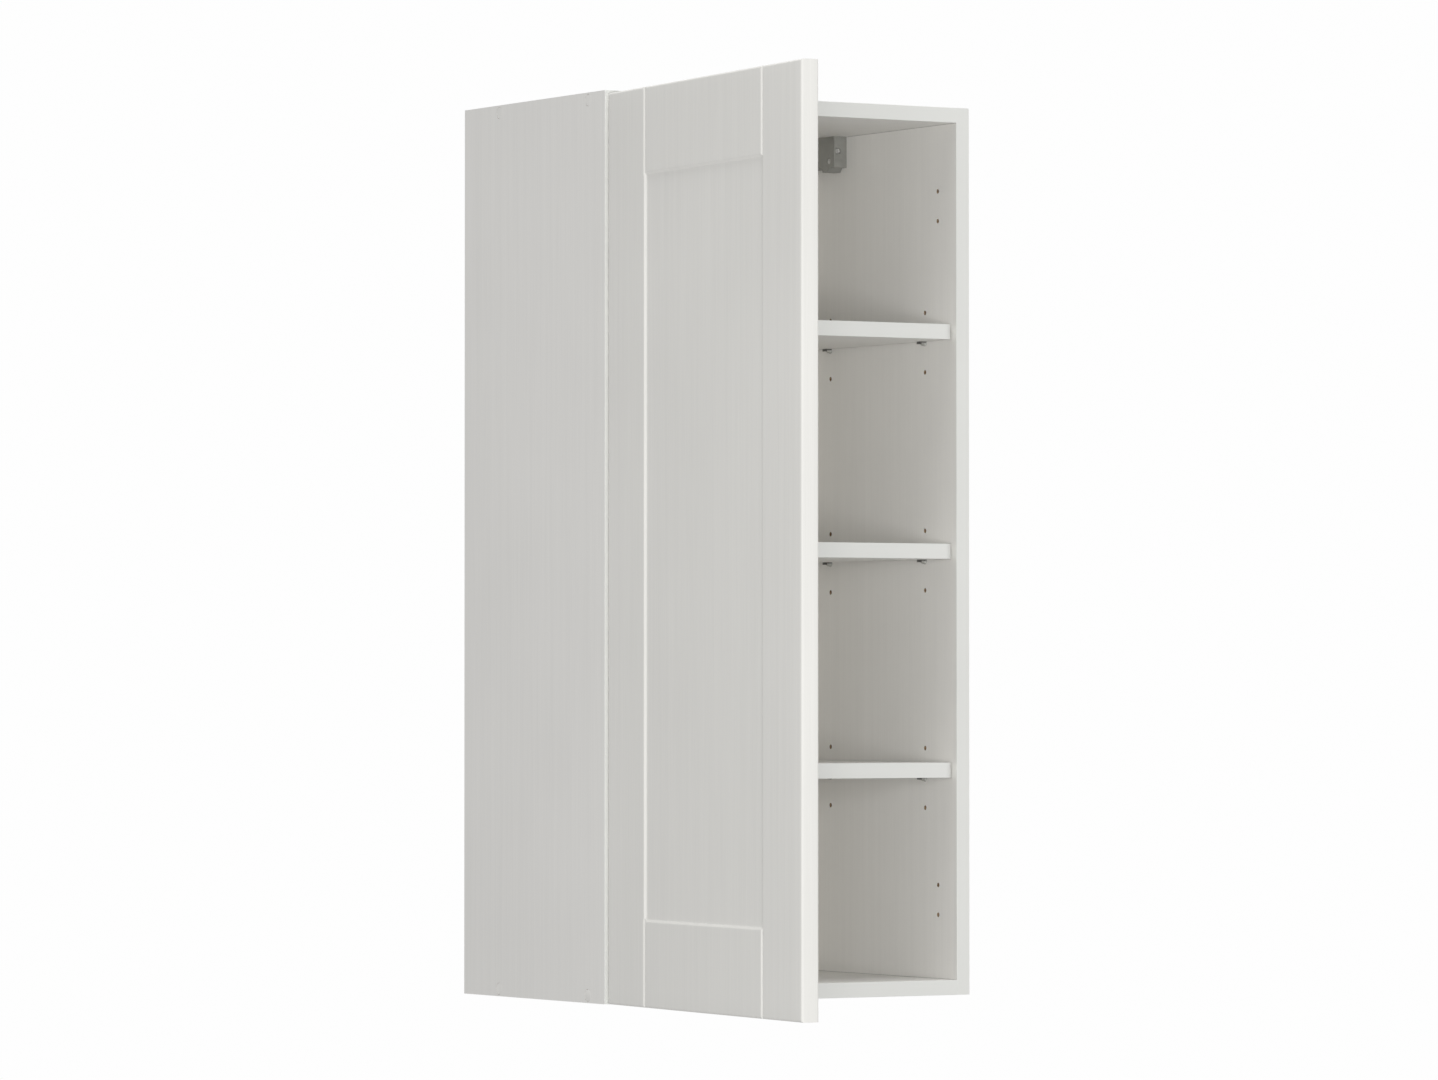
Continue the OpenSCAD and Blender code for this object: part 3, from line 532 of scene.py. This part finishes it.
def foil_material(colour, heading, thickness):
    """Door foil: matt white with fine upright grain. Its back is smooth melamine, and the foil ends in a
    fine grey line round it. Heading is the direction of the door's depth."""
    material, tree, shader, point = new_material("door_foil", IOR=1.48)
    along = add_node(tree, "ShaderNodeVectorMath", {0: point, 1: heading}, operation="DOT_PRODUCT")
    face = sum(place * part for place, part in zip(DOOR_CORNER, heading))
    depth = maths(tree, "SUBTRACT", along.outputs["Value"], face)
    foil_end = thickness - FOIL_STOP
    back = maths(tree, "GREATER_THAN", depth, foil_end)
    seam = maths(tree, "ABSOLUTE", maths(tree, "SUBTRACT", depth, foil_end))
    edge = remap(tree, seam, 0.0, 0.25 * MM, 0.72, 1.0)
    grain = place_group(tree, "grain", {"Point": point})
    skin = place_group(tree, "skin", {"Point": point})
    streaks = mixed(tree, back, grain["Tone"], 0.99)
    tone = maths(tree, "MULTIPLY", maths(tree, "MULTIPLY", streaks, skin["Tone"]), edge)
    tree.links.new(tinted(tree, colour, tone), shader.inputs["Base Color"])
    gloss = maths(tree, "SUBTRACT", maths(tree, "ADD", skin["Gloss"], ROUGHNESS["foil"]),
                  maths(tree, "MULTIPLY", back, 0.08))
    tree.links.new(gloss, shader.inputs["Roughness"])
    height = maths(tree, "MULTIPLY", grain["Height"], maths(tree, "SUBTRACT", 1.0, back))
    bumped(tree, shader, height, 0.35, 0.06 * MM)
    return material


def plated_material(name, colour, roughness):
    """Nickel or zinc plated steel."""
    material, tree, shader, point = new_material(name, Metallic=1.0)
    metal = place_group(tree, "metal", {"Point": point})
    tree.links.new(tinted(tree, colour, metal["Tone"]), shader.inputs["Base Color"])
    tree.links.new(maths(tree, "ADD", metal["Gloss"], roughness), shader.inputs["Roughness"])
    bumped(tree, shader, metal["Height"], 0.25, 0.02 * MM)
    return material


def plastic_material(name, colour, roughness, **constants):
    """Moulded plastic with a fine texture."""
    material, tree, shader, point = new_material(name, Roughness=roughness, **constants)
    moulded = place_group(tree, "moulded", {"Point": point})
    tree.links.new(tinted(tree, colour, moulded["Tone"]), shader.inputs["Base Color"])
    bumped(tree, shader, moulded["Height"], 0.3, 0.05 * MM)
    return material


def dowel_material():
    """Fluted beech: fine fibres along the dowel."""
    material, tree, shader, point = new_material("beech", Roughness=ROUGHNESS["beech"])
    fibres = noise(tree, stretched(tree, point, (160.0, 2600.0, 2600.0)), 1.0, 4.0, 0.6)
    tone = remap(tree, fibres, 0.3, 0.7, 0.8, 1.15)
    tree.links.new(tinted(tree, BEECH, tone), shader.inputs["Base Color"])
    bumped(tree, shader, fibres, 0.4, 0.1 * MM)
    return material


def finish_node(name, material):
    """Gives a construction piece its material in every slot."""
    mesh = frame["nodes"][name].data
    mesh.materials.clear()
    mesh.materials.append(material)


def both(name, ends):
    """A node's name with each of the endings."""
    return [name + "_" + end for end in ends]


# Door leaf

def eased(x, ease):
    """A soft absolute value: the root of x squared plus the ease squared."""
    return np.sqrt(x * x + ease * ease)


def ramp(x, run, ease):
    """Rises from nought to one over a run, with eased corners."""
    return (eased(x, ease) - eased(x - run, ease) + run) / (2 * run)


def vee(x, half, ease):
    """A V of depth one and the given half width, with eased lips and bottom."""
    return (eased(x + half, ease) + eased(x - half, ease) - 2 * eased(x, ease)) / (2 * half)


def rounded_drop(distance, radius):
    """How far a quarter round has fallen at a distance from the edge."""
    inside = np.clip(radius - distance, 0, radius)
    return radius - np.sqrt(radius * radius - inside * inside)


def door_lines(span, radius, frame_line, reach, cups, half):
    """Grid lines across the door in one direction: close on the round edges, the grooves and the cups."""
    turn = np.linspace(0, np.pi / 2, 9)
    edge = radius * (1 - np.cos(turn))
    near = frame_line + np.linspace(-reach, reach, 25)
    panel = np.linspace(frame_line + reach, span - frame_line - reach, 14)
    margin = np.linspace(radius, frame_line - reach, 6)
    side = np.concatenate([edge, margin, near])
    patches = [centre + half * np.linspace(-1, 1, 9) for centre in cups]
    lines = np.concatenate([side, span - side, panel] + patches)
    return np.unique(np.round(lines, 8))


def face_depth(s, z, height, door):
    """Depth of the face under its front plane: round edges, grooves across the rails, a sunk panel."""
    run, ease = door.step_run, door.lip
    sides = [s - door.stile, door.width - s - door.stile]
    ends = [z - door.rail, height - z - door.rail]
    inward = [ramp(d + run / 2, run, ease) for d in sides + ends]
    sunk = door.panel_depth * np.minimum.reduce(np.broadcast_arrays(*inward))
    in_rail = 1 - np.minimum(*(ramp(d - run / 2, ease, ease / 4) for d in ends))
    in_groove = np.maximum(*(vee(d, door.groove / 2, ease) for d in sides))
    grooves = door.groove_depth * in_rail * in_groove
    edges = np.maximum(rounded_drop(np.minimum(s, door.width - s), door.edge),
                       rounded_drop(np.minimum(z, height - z), door.edge))
    return np.maximum(np.maximum(sunk, grooves), edges)


def cup_patch(s_line, z_line, centre, depth, radius, bore):
    """The back face round a cup: rings from a square's own grid points to a circle, then the bore's wall
    and its floor."""
    width, height = len(s_line) - 1, len(z_line) - 1
    square = closed_ring(np.concatenate([
        np.stack([s_line[:-1], np.full(width, z_line[0])], -1),
        np.stack([np.full(height, s_line[-1]), z_line[:-1]], -1),
        np.stack([s_line[:0:-1], np.full(width, z_line[-1])], -1),
        np.stack([np.full(height, s_line[0]), z_line[:0:-1]], -1)])) - centre
    circle = radius * square / np.linalg.norm(square, axis=1, keepdims=True)
    rings = [(circle + share * (square - circle), depth) for share in (1.0, 0.5, 0.0)]
    rings += [(circle, depth - bore), (circle / 2, depth - bore), (circle * 0.0, depth - bore)]
    return np.stack([np.stack([centre[0] + ring[:, 0], np.full(len(ring), n), centre[1] + ring[:, 1]], -1)
                     for ring, n in rings])


def from_door(grid, opening):
    """From the door's own frame (along the door, depth, height) to its open place in the row frame."""
    along, depth, height = grid[..., 0], grid[..., 1], grid[..., 2]
    x = math.cos(opening) * along + math.sin(opening) * depth
    y = math.cos(opening) * depth - math.sin(opening) * along
    return np.stack([x, y, height], -1) + np.array(DOOR_CORNER)


# Sizes and colours that a user can change

def length(name, description, millimetres):
    """A length property, with its default in millimetres."""
    return bpy.props.FloatProperty(
        name=name, description=description, default=millimetres * MM, unit="LENGTH")


def finish_colour(name, description, value):
    """A colour property with its default."""
    return bpy.props.FloatVectorProperty(
        name=name, description=description, default=value, subtype="COLOR")


class DoorSizes(bpy.types.PropertyGroup):
    """Sizes of the door leaf that the frame doesn't give"""

    width: length("Width", "Width of the door", 446.0)
    thickness: length("Thickness", "Thickness of the door", 18.5)
    opening: bpy.props.FloatProperty(
        name="Opening", description="Angle at which the door stands open", default=math.radians(95),
        subtype="ANGLE")
    stile: length("Stile", "Width of a stile to the line of its groove", 87.5)
    rail: length("Rail", "Width of a rail to the line of its step", 89.0)
    step_run: length("Step run", "Run of the sloping step round the panel", 2.5)
    panel_depth: length("Panel depth", "Depth of the sunk panel", 2.5)
    groove: length("Groove width", "Width of the V grooves", 5.0)
    groove_depth: length("Groove depth", "Depth of the V grooves", 2.0)
    edge: length("Face edge", "Rounding round the face", 2.5)
    back_edge: length("Back edge", "Rounding round the back", 0.8)
    lip: length("Lip", "Easing of the lips of grooves and steps", 0.35)
    cup_inset: length("Cup inset", "Door edge to the middle of a cup", 21.5)
    cup_radius: length("Bore radius", "Radius of the cup bores", 17.55)
    cup_depth: length("Bore depth", "Depth of the cup bores", 12.5)
    buffer_inset: length("Bumper inset", "Upper and lower edge to a bumper", 20.0)
    buffer_radius: length("Bumper radius", "Radius of a bumper", 4.0)
    buffer_height: length("Bumper height", "Height of a bumper", 2.2)


class FittingSizes(bpy.types.PropertyGroup):
    """Roundings and small sizes of the fittings"""

    steel_arris: length("Steel arris", "Rounding of stamped steel", 0.25)
    screw_arris: length("Screw arris", "Rounding of screw heads", 0.15)
    moulded_arris: length("Moulded arris", "Rounding of moulded plastic", 0.5)
    cap_radius: length("Cap radius", "Radius of the cover caps", 6.25)
    support_width: length("Support width", "Width of a shelf support's plate", 8.0)
    support_sheet: length("Support sheet", "Thickness of a support's plate", 1.3)
    support_reach: length("Support reach", "Board to the tip of a support", 8.0)
    support_rise: length("Support rise", "Pin to the top of the plate", 1.0)
    support_lip: length("Support lip", "Drop of the lip below the pin", 3.2)


class FinishColours(bpy.types.PropertyGroup):
    """Colours of the finishes"""

    board: finish_colour("Board", "Melamine on the boards", (0.86, 0.85, 0.822))
    back: finish_colour("Back panel", "Lacquer on the back panel", (0.86, 0.83, 0.77))
    band: finish_colour("Edge band", "Bands on the front edges", (0.841, 0.846, 0.815))
    door: finish_colour("Door foil", "Foil on the door", (0.862, 0.853, 0.818))
    cap: finish_colour("Cover cap", "Caps over the screws", (0.86, 0.85, 0.82))
    hanger: finish_colour("Hanger", "Hanger housings", (0.315, 0.315, 0.292))
    support: finish_colour("Support", "Feet and pins of the shelf supports", (0.56, 0.56, 0.54))
    # Painted shade: near black for the shadow under the shelves
    support_plate_shade: finish_colour("Support plate", "Plates of the shelf supports", (0.11, 0.11, 0.105))
    nickel: finish_colour("Nickel", "Plated hinges", (0.72, 0.71, 0.69))
    zinc: finish_colour("Zinc", "Plated screws and hooks", (0.60, 0.61, 0.62))
    pin: finish_colour("Pin", "Bright drawn pins", (0.62, 0.62, 0.61))


class CABINET_OT_boards(bpy.types.Operator):
    """Finishes the side, top and bottom boards in white melamine"""

    bl_idname = "cabinet.boards"
    bl_label = "Carcass boards"

    def execute(self, context):
        colour = context.scene.finish_colours.board
        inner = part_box("side_right")[0].x
        level_joints = (("X", -inner), ("X", inner))
        upright_joints = (("Z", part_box("bottom_panel")[1].z), ("Z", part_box("top_panel")[0].z))
        for name in ("side_left", "side_right"):
            finish_node(name, board_material("melamine_" + name, name, colour, joints=upright_joints))
        for name in ("top_panel", "bottom_panel"):
            finish_node(name, board_material("melamine_" + name, name, colour, True, level_joints))
        return {"FINISHED"}


class CABINET_OT_shelves(bpy.types.Operator):
    """Finishes the three shelves in white melamine"""

    bl_idname = "cabinet.shelves"
    bl_label = "Shelves"

    def execute(self, context):
        colour = context.scene.finish_colours.board
        for name in both("shelf", LEVELS):
            finish_node(name, board_material("melamine_" + name, name, colour, True))
        return {"FINISHED"}


class CABINET_OT_bands(bpy.types.Operator):
    """Finishes the bands on the front edges of the carcass and the shelves"""

    bl_idname = "cabinet.bands"
    bl_label = "Edge bands"

    def execute(self, context):
        bands = band_material(context.scene.finish_colours.band)
        for name in both("edge_band", ("left", "right", "top", "bottom")) + both("shelf_band", LEVELS):
            finish_node(name, bands)
        return {"FINISHED"}


class CABINET_OT_back(bpy.types.Operator):
    """Finishes the back panel: lacquered inside, bare fibreboard behind"""

    bl_idname = "cabinet.back"
    bl_label = "Back panel"

    def execute(self, context):
        finish_node("back_panel", back_material(context.scene.finish_colours.back))
        return {"FINISHED"}


class CABINET_OT_door(bpy.types.Operator):
    """Makes the door leaf with eased lips, round edges and bores for the hinge cups"""

    bl_idname = "cabinet.door"
    bl_label = "Door leaf"

    def execute(self, context):
        door = context.scene.door_sizes
        low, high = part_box("door_panel")
        height = round(high.z - low.z, 6)
        cups = [sum(corner.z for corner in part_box("hinge_cup_" + end)) / 2 - low.z for end in ENDS]
        half = 19.0 * MM
        reach = 4.5 * MM
        s_lines = door_lines(door.width, door.edge, door.stile, reach, [door.cup_inset], half)
        z_lines = door_lines(height, door.edge, door.rail, reach, cups, half)
        s, z = np.meshgrid(s_lines, z_lines)
        front = np.stack([s, face_depth(s, z, height, door), z], -1)
        rim = np.minimum(np.minimum(s, door.width - s), np.minimum(z, height - z))
        back = np.stack([s, door.thickness - rounded_drop(rim, door.back_edge), z], -1)
        patches = [(front, False)]
        levels = np.linspace(door.edge, door.thickness - door.back_edge, 4)
        rims = ((front[0], True), (front[-1], False), (front[:, 0], False), (front[:, -1], True))
        for line, flip in rims:
            patches.append((line * (1, 0, 1) + levels[:, None, None] * (0, 1, 0), flip))
        patches += self.back_round_cups(back, s_lines, z_lines, cups, half, door)
        heading = (math.sin(door.opening), math.cos(door.opening), 0.0)
        foil = foil_material(context.scene.finish_colours.door, heading, door.thickness)
        opened = [(from_door(grid, door.opening), flip) for grid, flip in patches]
        replace_node(make_piece("door_leaf", opened, foil), "door_panel")
        return {"FINISHED"}

    def back_round_cups(self, back, s_lines, z_lines, cups, half, door):
        """The back face in strips round the cups, and a patch with its bore at each cup."""
        def at(lines, value):
            """The grid line nearest a place."""
            return int(np.argmin(abs(lines - value)))
        s0 = at(s_lines, door.cup_inset - half)
        s1 = at(s_lines, door.cup_inset + half)
        patches = [(back[:, :s0 + 1], True), (back[:, s1:], True)]
        start = 0
        for centre in cups:
            z0, z1 = at(z_lines, centre - half), at(z_lines, centre + half)
            patches.append((back[start:z0 + 1, s0:s1 + 1], True))
            patches.append((cup_patch(s_lines[s0:s1 + 1], z_lines[z0:z1 + 1], (door.cup_inset, centre),
                                      door.thickness, door.cup_radius, door.cup_depth), True))
            start = z1
        patches.append((back[start:, s0:s1 + 1], True))
        return patches


class CABINET_OT_bumpers(bpy.types.Operator):
    """Makes the clear bumpers on the back of the door, each a low dome"""

    bl_idname = "cabinet.bumpers"
    bl_label = "Door bumpers"

    def execute(self, context):
        door = context.scene.door_sizes
        low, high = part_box("door_panel")
        height = high.z - low.z
        turn = np.linspace(0, np.pi / 2, 9)
        foot = 0.4 * MM
        rise = foot + (door.buffer_height - foot) * np.sin(turn)
        dome = np.stack([rise, door.buffer_radius * np.cos(turn)], -1)
        profile = np.concatenate([[[0, 0], [0, door.buffer_radius]], dome])
        inset = 8.0 * MM
        domes = []
        for level in (door.buffer_inset, height - door.buffer_inset):
            shape = turned_shape(profile, (door.thickness, 0, 0), 1)
            along, up = shape[..., 1] + door.width - inset, shape[..., 2] + level
            domes.append(from_door(np.stack([along, shape[..., 0], up], -1), door.opening))
        clear = plastic_material("bumper_clear", CLEAR, ROUGHNESS["bumper"],
                                 IOR=1.45, Transmission_Weight=0.85)
        replace_node(make_solids("door_bumpers", domes, clear), "door_buffers")
        return {"FINISHED"}


class CABINET_OT_hinges(bpy.types.Operator):
    """Finishes the cup hinges with eased arrises: cups, links, pins, arms and mounting plates"""

    bl_idname = "cabinet.hinges"
    bl_label = "Hinges"

    def execute(self, context):
        colours = context.scene.finish_colours
        arris = context.scene.fitting_sizes.steel_arris
        nickel = plated_material("nickel", colours.nickel, ROUGHNESS["hinge"])
        bright = plated_material("bright_pin", colours.pin, ROUGHNESS["pin"])
        for part in ("hinge_cup", "hinge_link", "hinge_arm", "mounting_plate"):
            for name in both(part, ENDS):
                soften(name, arris, nickel)
        for name in both("inner_link", ENDS):
            finish_node(name, nickel)
        for name in both("cup_pin", ENDS) + both("arm_pin", ENDS):
            finish_node(name, bright)
        return {"FINISHED"}


class CABINET_OT_supports(bpy.types.Operator):
    """Makes the shelf supports: a bright pin, collar and foot under a bent plate with its pad, the plate
    painted near black as shade under the shelf
    """

    bl_idname = "cabinet.supports"
    bl_label = "Shelf supports"

    def execute(self, context):
        sizes = context.scene.fitting_sizes
        colours = context.scene.finish_colours
        bright = plated_material("support_nickel", colours.support, ROUGHNESS["support"])
        # Painted shade: the plates are near black for the shadow between the shelf and its supports
        dark = plastic_material("support_plate_shade", colours.support_plate_shade, ROUGHNESS["support"])
        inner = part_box("side_right")[0].x
        shapes = self.one_support(sizes)
        for level in LEVELS:
            name = "shelf_supports_" + level
            low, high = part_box(name)
            height = high.z - sizes.support_rise
            places = [np.array((side * inner, y, height)) for side in (-1, 1)
                      for y in (low.y + sizes.support_width / 2, high.y - sizes.support_width / 2)]
            feet, plates = ([shape * (-np.sign(place[0]), 1, 1) + place
                             for place in places for shape in group] for group in shapes)
            replace_node(make_solids("support_feet_" + level, feet, bright), name)
            plate = make_solids("support_plates_" + level, plates, dark)
            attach(plate, frame["nodes"][name]["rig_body"])
        return {"FINISHED"}

    def one_support(self, sizes):
        """A support's closed shapes, with X from the board, Y along it and Z up from the pin: those of its
        bright foot, and those of its plate, whose near-black colour is painted shade under the shelf."""
        sheet = sizes.support_sheet
        bend = 1.2 * MM
        level = sizes.support_rise - sheet / 2
        tip = sizes.support_reach - sheet / 2
        turn = np.linspace(np.pi / 2, 0, 7)
        corner = np.stack([tip - bend + bend * np.cos(turn), level - bend + bend * np.sin(turn)], -1)
        path = np.concatenate([[[0.0, level], [2 * MM, level], [4.5 * MM, level]], corner,
                               [[tip, -1.8 * MM], [tip, -sizes.support_lip]]])
        plate = bent_strip(path, sheet, sizes.support_width, 0.3 * MM)
        pad = eased_plate(np.array([[0.1, 0.1], [6.8, 0.1], [6.8, -1.3], [6.4, -1.7], [0.1, -1.7]]) * MM,
                          sizes.support_width - 0.3 * MM, 0.25 * MM)
        rib = eased_plate(np.array([[0.1, -0.3], [6.5, -0.3], [6.5, -2.2], [2.8, -4.9], [0.1, -4.9]]) * MM,
                          4.4 * MM, 0.3 * MM)
        pin = turned_shape(np.array([[-9.0, 0], [-9.0, 1.9], [-8.5, 2.45], [0.4, 2.45], [0.4, 0]]) * MM,
                           (0, 0, 0), 1, 32)
        disc = np.array([[0, 0], [0, 4.0], [0.5, 4.0], [0.72, 3.9], [0.8, 3.7], [0.8, 0]]) * MM
        collar = turned_shape(disc, (0, 0, -1.5 * MM), 1, 40)
        return [rib, pin, collar], [plate, pad]


class CABINET_OT_hangers(bpy.types.Operator):
    """Finishes the cabinet hangers: moulded housings and pegs, plated hooks and screws"""

    bl_idname = "cabinet.hangers"
    bl_label = "Cabinet hangers"

    def execute(self, context):
        sizes = context.scene.fitting_sizes
        colours = context.scene.finish_colours
        grey = plastic_material("hanger_grey", colours.hanger, ROUGHNESS["hanger"])
        hook = plated_material("hook_zinc", colours.zinc, ROUGHNESS["hook"])
        screw = plated_material("hanger_screw_zinc", SCREW_ZINC, ROUGHNESS["hanger_screw"])
        for name in both("hanger_housing", SIDES):
            soften(name, sizes.moulded_arris, grey)
        for name in both("hanger_hook", SIDES):
            soften(name, sizes.steel_arris, hook)
        for name in both("hanger_screws", SIDES):
            soften(name, sizes.screw_arris, screw)
        finish_node("hanger_pegs", grey)
        return {"FINISHED"}


class CABINET_OT_caps(bpy.types.Operator):
    """Makes the cover caps over the carcass screws, flush with the sides, with an eased rim and a stem"""

    bl_idname = "cabinet.caps"
    bl_label = "Cover caps"

    def execute(self, context):
        radius = context.scene.fitting_sizes.cap_radius
        low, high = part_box("screw_caps")
        stem = np.array([[-3.2, 0], [-3.2, 1.5], [-2.9, 1.8], [-1.2, 1.8]]) * MM
        rim = np.array([[-1.2, -0.1], [-0.3, -0.1], [-0.12, -0.16], [-0.02, -0.34], [0, -0.6]]) * MM
        profile = np.concatenate([stem, rim + np.array([0, radius]), [[0, 0]]])
        caps = []
        for side in (-1, 1):
            for y in (low.y + radius, high.y - radius):
                for z in (low.z + radius, high.z - radius):
                    caps.append(turned_shape(profile, (side * high.x, y, z), side, 48))
        white = plastic_material("cap_white", context.scene.finish_colours.cap, ROUGHNESS["cap"])
        replace_node(make_solids("cover_caps", caps, white), "screw_caps")
        return {"FINISHED"}


class CABINET_OT_fasteners(bpy.types.Operator):
    """Finishes the screws and the dowels"""

    bl_idname = "cabinet.fasteners"
    bl_label = "Screws and dowels"

    def execute(self, context):
        zinc = plated_material("zinc", context.scene.finish_colours.zinc, ROUGHNESS["zinc"])
        arris = context.scene.fitting_sizes.screw_arris
        for part in ("cup_screws", "plate_screws", "adjusting_screws"):
            for name in both(part, ENDS):
                soften(name, arris, zinc)
        finish_node("carcass_screws", zinc)
        finish_node("carcass_dowels", dowel_material())
        return {"FINISHED"}


class CABINET_OT_stage(bpy.types.Operator):
    """Sets the pale floor, the soft lights and the photograph's camera"""

    bl_idname = "cabinet.stage"
    bl_label = "Studio"

    def execute(self, context):
        scene = context.scene
        self.make_floor()
        self.make_world(scene)
        self.make_lights(scene)
        self.make_camera(scene)
        scene.view_settings.view_transform = "Standard"
        return {"FINISHED"}

    def make_floor(self):
        """A round pale floor below the cabinet: rings of growing radius. It fades out towards its rim, and
        from below it isn't seen."""
        turn = np.linspace(0, 2 * np.pi, 97)
        radius = np.linspace(0.0, FLOOR_RADIUS, 9)[:, None]
        level = FLOOR_HEIGHT + 0 * radius * turn
        grid = np.stack([radius * np.cos(turn), radius * np.sin(turn), level], -1)
        material, tree, shader, point = new_material("pale_floor", Roughness=ROUGHNESS["floor"])
        tone = remap(tree, noise(tree, point, 1.5), 0.3, 0.7, 0.99, 1.01)
        tree.links.new(tinted(tree, FLOOR_COLOUR, tone), shader.inputs["Base Color"])
        flat = add_node(tree, "ShaderNodeVectorMath", {0: stretched(tree, point, (1.0, 1.0, 0.0))},
                        operation="LENGTH").outputs["Value"]
        faded = remap(tree, flat, FLOOR_RADIUS / 4, FLOOR_RADIUS * 0.95, 1.0, 0.0)
        below = add_node(tree, "ShaderNodeNewGeometry").outputs["Backfacing"]
        shown = maths(tree, "MULTIPLY", faded, maths(tree, "SUBTRACT", 1.0, below))
        tree.links.new(shown, shader.inputs["Alpha"])
        floor = make_piece("floor", [(grid, True)], material)
        floor.visible_diffuse = False
        floor.visible_glossy = False

    def make_world(self, scene):
        """White to the camera, and a dimmer even light on the cabinet, from above and from below."""
        world = bpy.data.worlds.new("studio")
        world.use_nodes = True
        tree = world.node_tree
        shine = tree.nodes["Background"]
        heading = add_node(tree, "ShaderNodeTexCoord").outputs["Generated"]
        height = axes_of(tree, heading)["Z"]
        above, below = AMBIENT
        even = remap(tree, height, -0.25, 0.25, below, above)
        seen = add_node(tree, "ShaderNodeLightPath").outputs["Is Camera Ray"]
        tree.links.new(mixed(tree, seen, even, WHITE), shine.inputs["Strength"])
        shine.inputs["Color"].default_value = (1, 1, 1, 1)
        scene.world = world

    def make_lights(self, scene):
        """Large soft panels, each turned to what it lights."""
        for name, place, aim, size, power in LAMPS:
            light = bpy.data.lights.new(name, "AREA")
            light.shape = "SQUARE"
            light.size = size
            light.energy = power
            lamp = bpy.data.objects.new(name, light)
            heading = np.array(aim) - np.array(place)
            lamp.location = place
            lamp.rotation_euler = (math.atan2(math.hypot(heading[0], heading[1]), -heading[2]), 0,
                                   math.atan2(-heading[0], heading[1]))
            scene.collection.objects.link(lamp)

    def make_camera(self, scene):
        """The photograph's camera, from its focal length in pixels."""
        camera = bpy.data.cameras.new("photo_camera")
        camera.sensor_width = SENSOR_WIDTH
        camera.sensor_fit = "HORIZONTAL"
        camera.lens = FOCAL_PIXELS / PHOTO_WIDTH * SENSOR_WIDTH
        camera.clip_end = 50
        holder = bpy.data.objects.new("photo_camera", camera)
        holder.location = CAMERA_PLACE
        holder.rotation_euler = (math.pi / 2 + CAMERA_PITCH, 0, -CAMERA_YAW)
        scene.collection.objects.link(holder)
        scene.camera = holder


OPERATORS = (CABINET_OT_boards, CABINET_OT_shelves, CABINET_OT_bands, CABINET_OT_back,
             CABINET_OT_door, CABINET_OT_bumpers, CABINET_OT_hinges, CABINET_OT_supports,
             CABINET_OT_hangers, CABINET_OT_caps, CABINET_OT_fasteners, CABINET_OT_stage)


class CABINET_PT_panel(bpy.types.Panel):
    """Lists the cabinet's pieces, their sizes and their colours"""

    bl_idname = "CABINET_PT_panel"
    bl_label = "Wall cabinet"
    bl_space_type = "VIEW_3D"
    bl_region_type = "UI"
    bl_category = "Cabinet"

    def draw(self, context):
        for operator in OPERATORS:
            self.layout.operator(operator.bl_idname)
        for group in (context.scene.door_sizes, context.scene.fitting_sizes, context.scene.finish_colours):
            for key in group.bl_rna.properties.keys():
                if key not in ("rna_type", "name"):
                    self.layout.prop(group, key)


CLASSES = (DoorSizes, FittingSizes, FinishColours) + OPERATORS + (CABINET_PT_panel,)


def register():
    """Registers the classes and hangs their settings on the scene"""
    for cls in CLASSES:
        bpy.utils.register_class(cls)
    bpy.types.Scene.door_sizes = bpy.props.PointerProperty(type=DoorSizes)
    bpy.types.Scene.fitting_sizes = bpy.props.PointerProperty(type=FittingSizes)
    bpy.types.Scene.finish_colours = bpy.props.PointerProperty(type=FinishColours)


def unregister():
    """Takes the settings and the classes away again"""
    del bpy.types.Scene.finish_colours
    del bpy.types.Scene.fitting_sizes
    del bpy.types.Scene.door_sizes
    for cls in reversed(CLASSES):
        bpy.utils.unregister_class(cls)


def main():
    """Builds the whole scene"""
    register()
    bpy.ops.cabinet.boards()
    bpy.ops.cabinet.shelves()
    bpy.ops.cabinet.bands()
    bpy.ops.cabinet.back()
    bpy.ops.cabinet.door()
    bpy.ops.cabinet.bumpers()
    bpy.ops.cabinet.hinges()
    bpy.ops.cabinet.supports()
    bpy.ops.cabinet.hangers()
    bpy.ops.cabinet.caps()
    bpy.ops.cabinet.fasteners()
    bpy.ops.cabinet.stage()


if __name__ == "__main__":
    main()
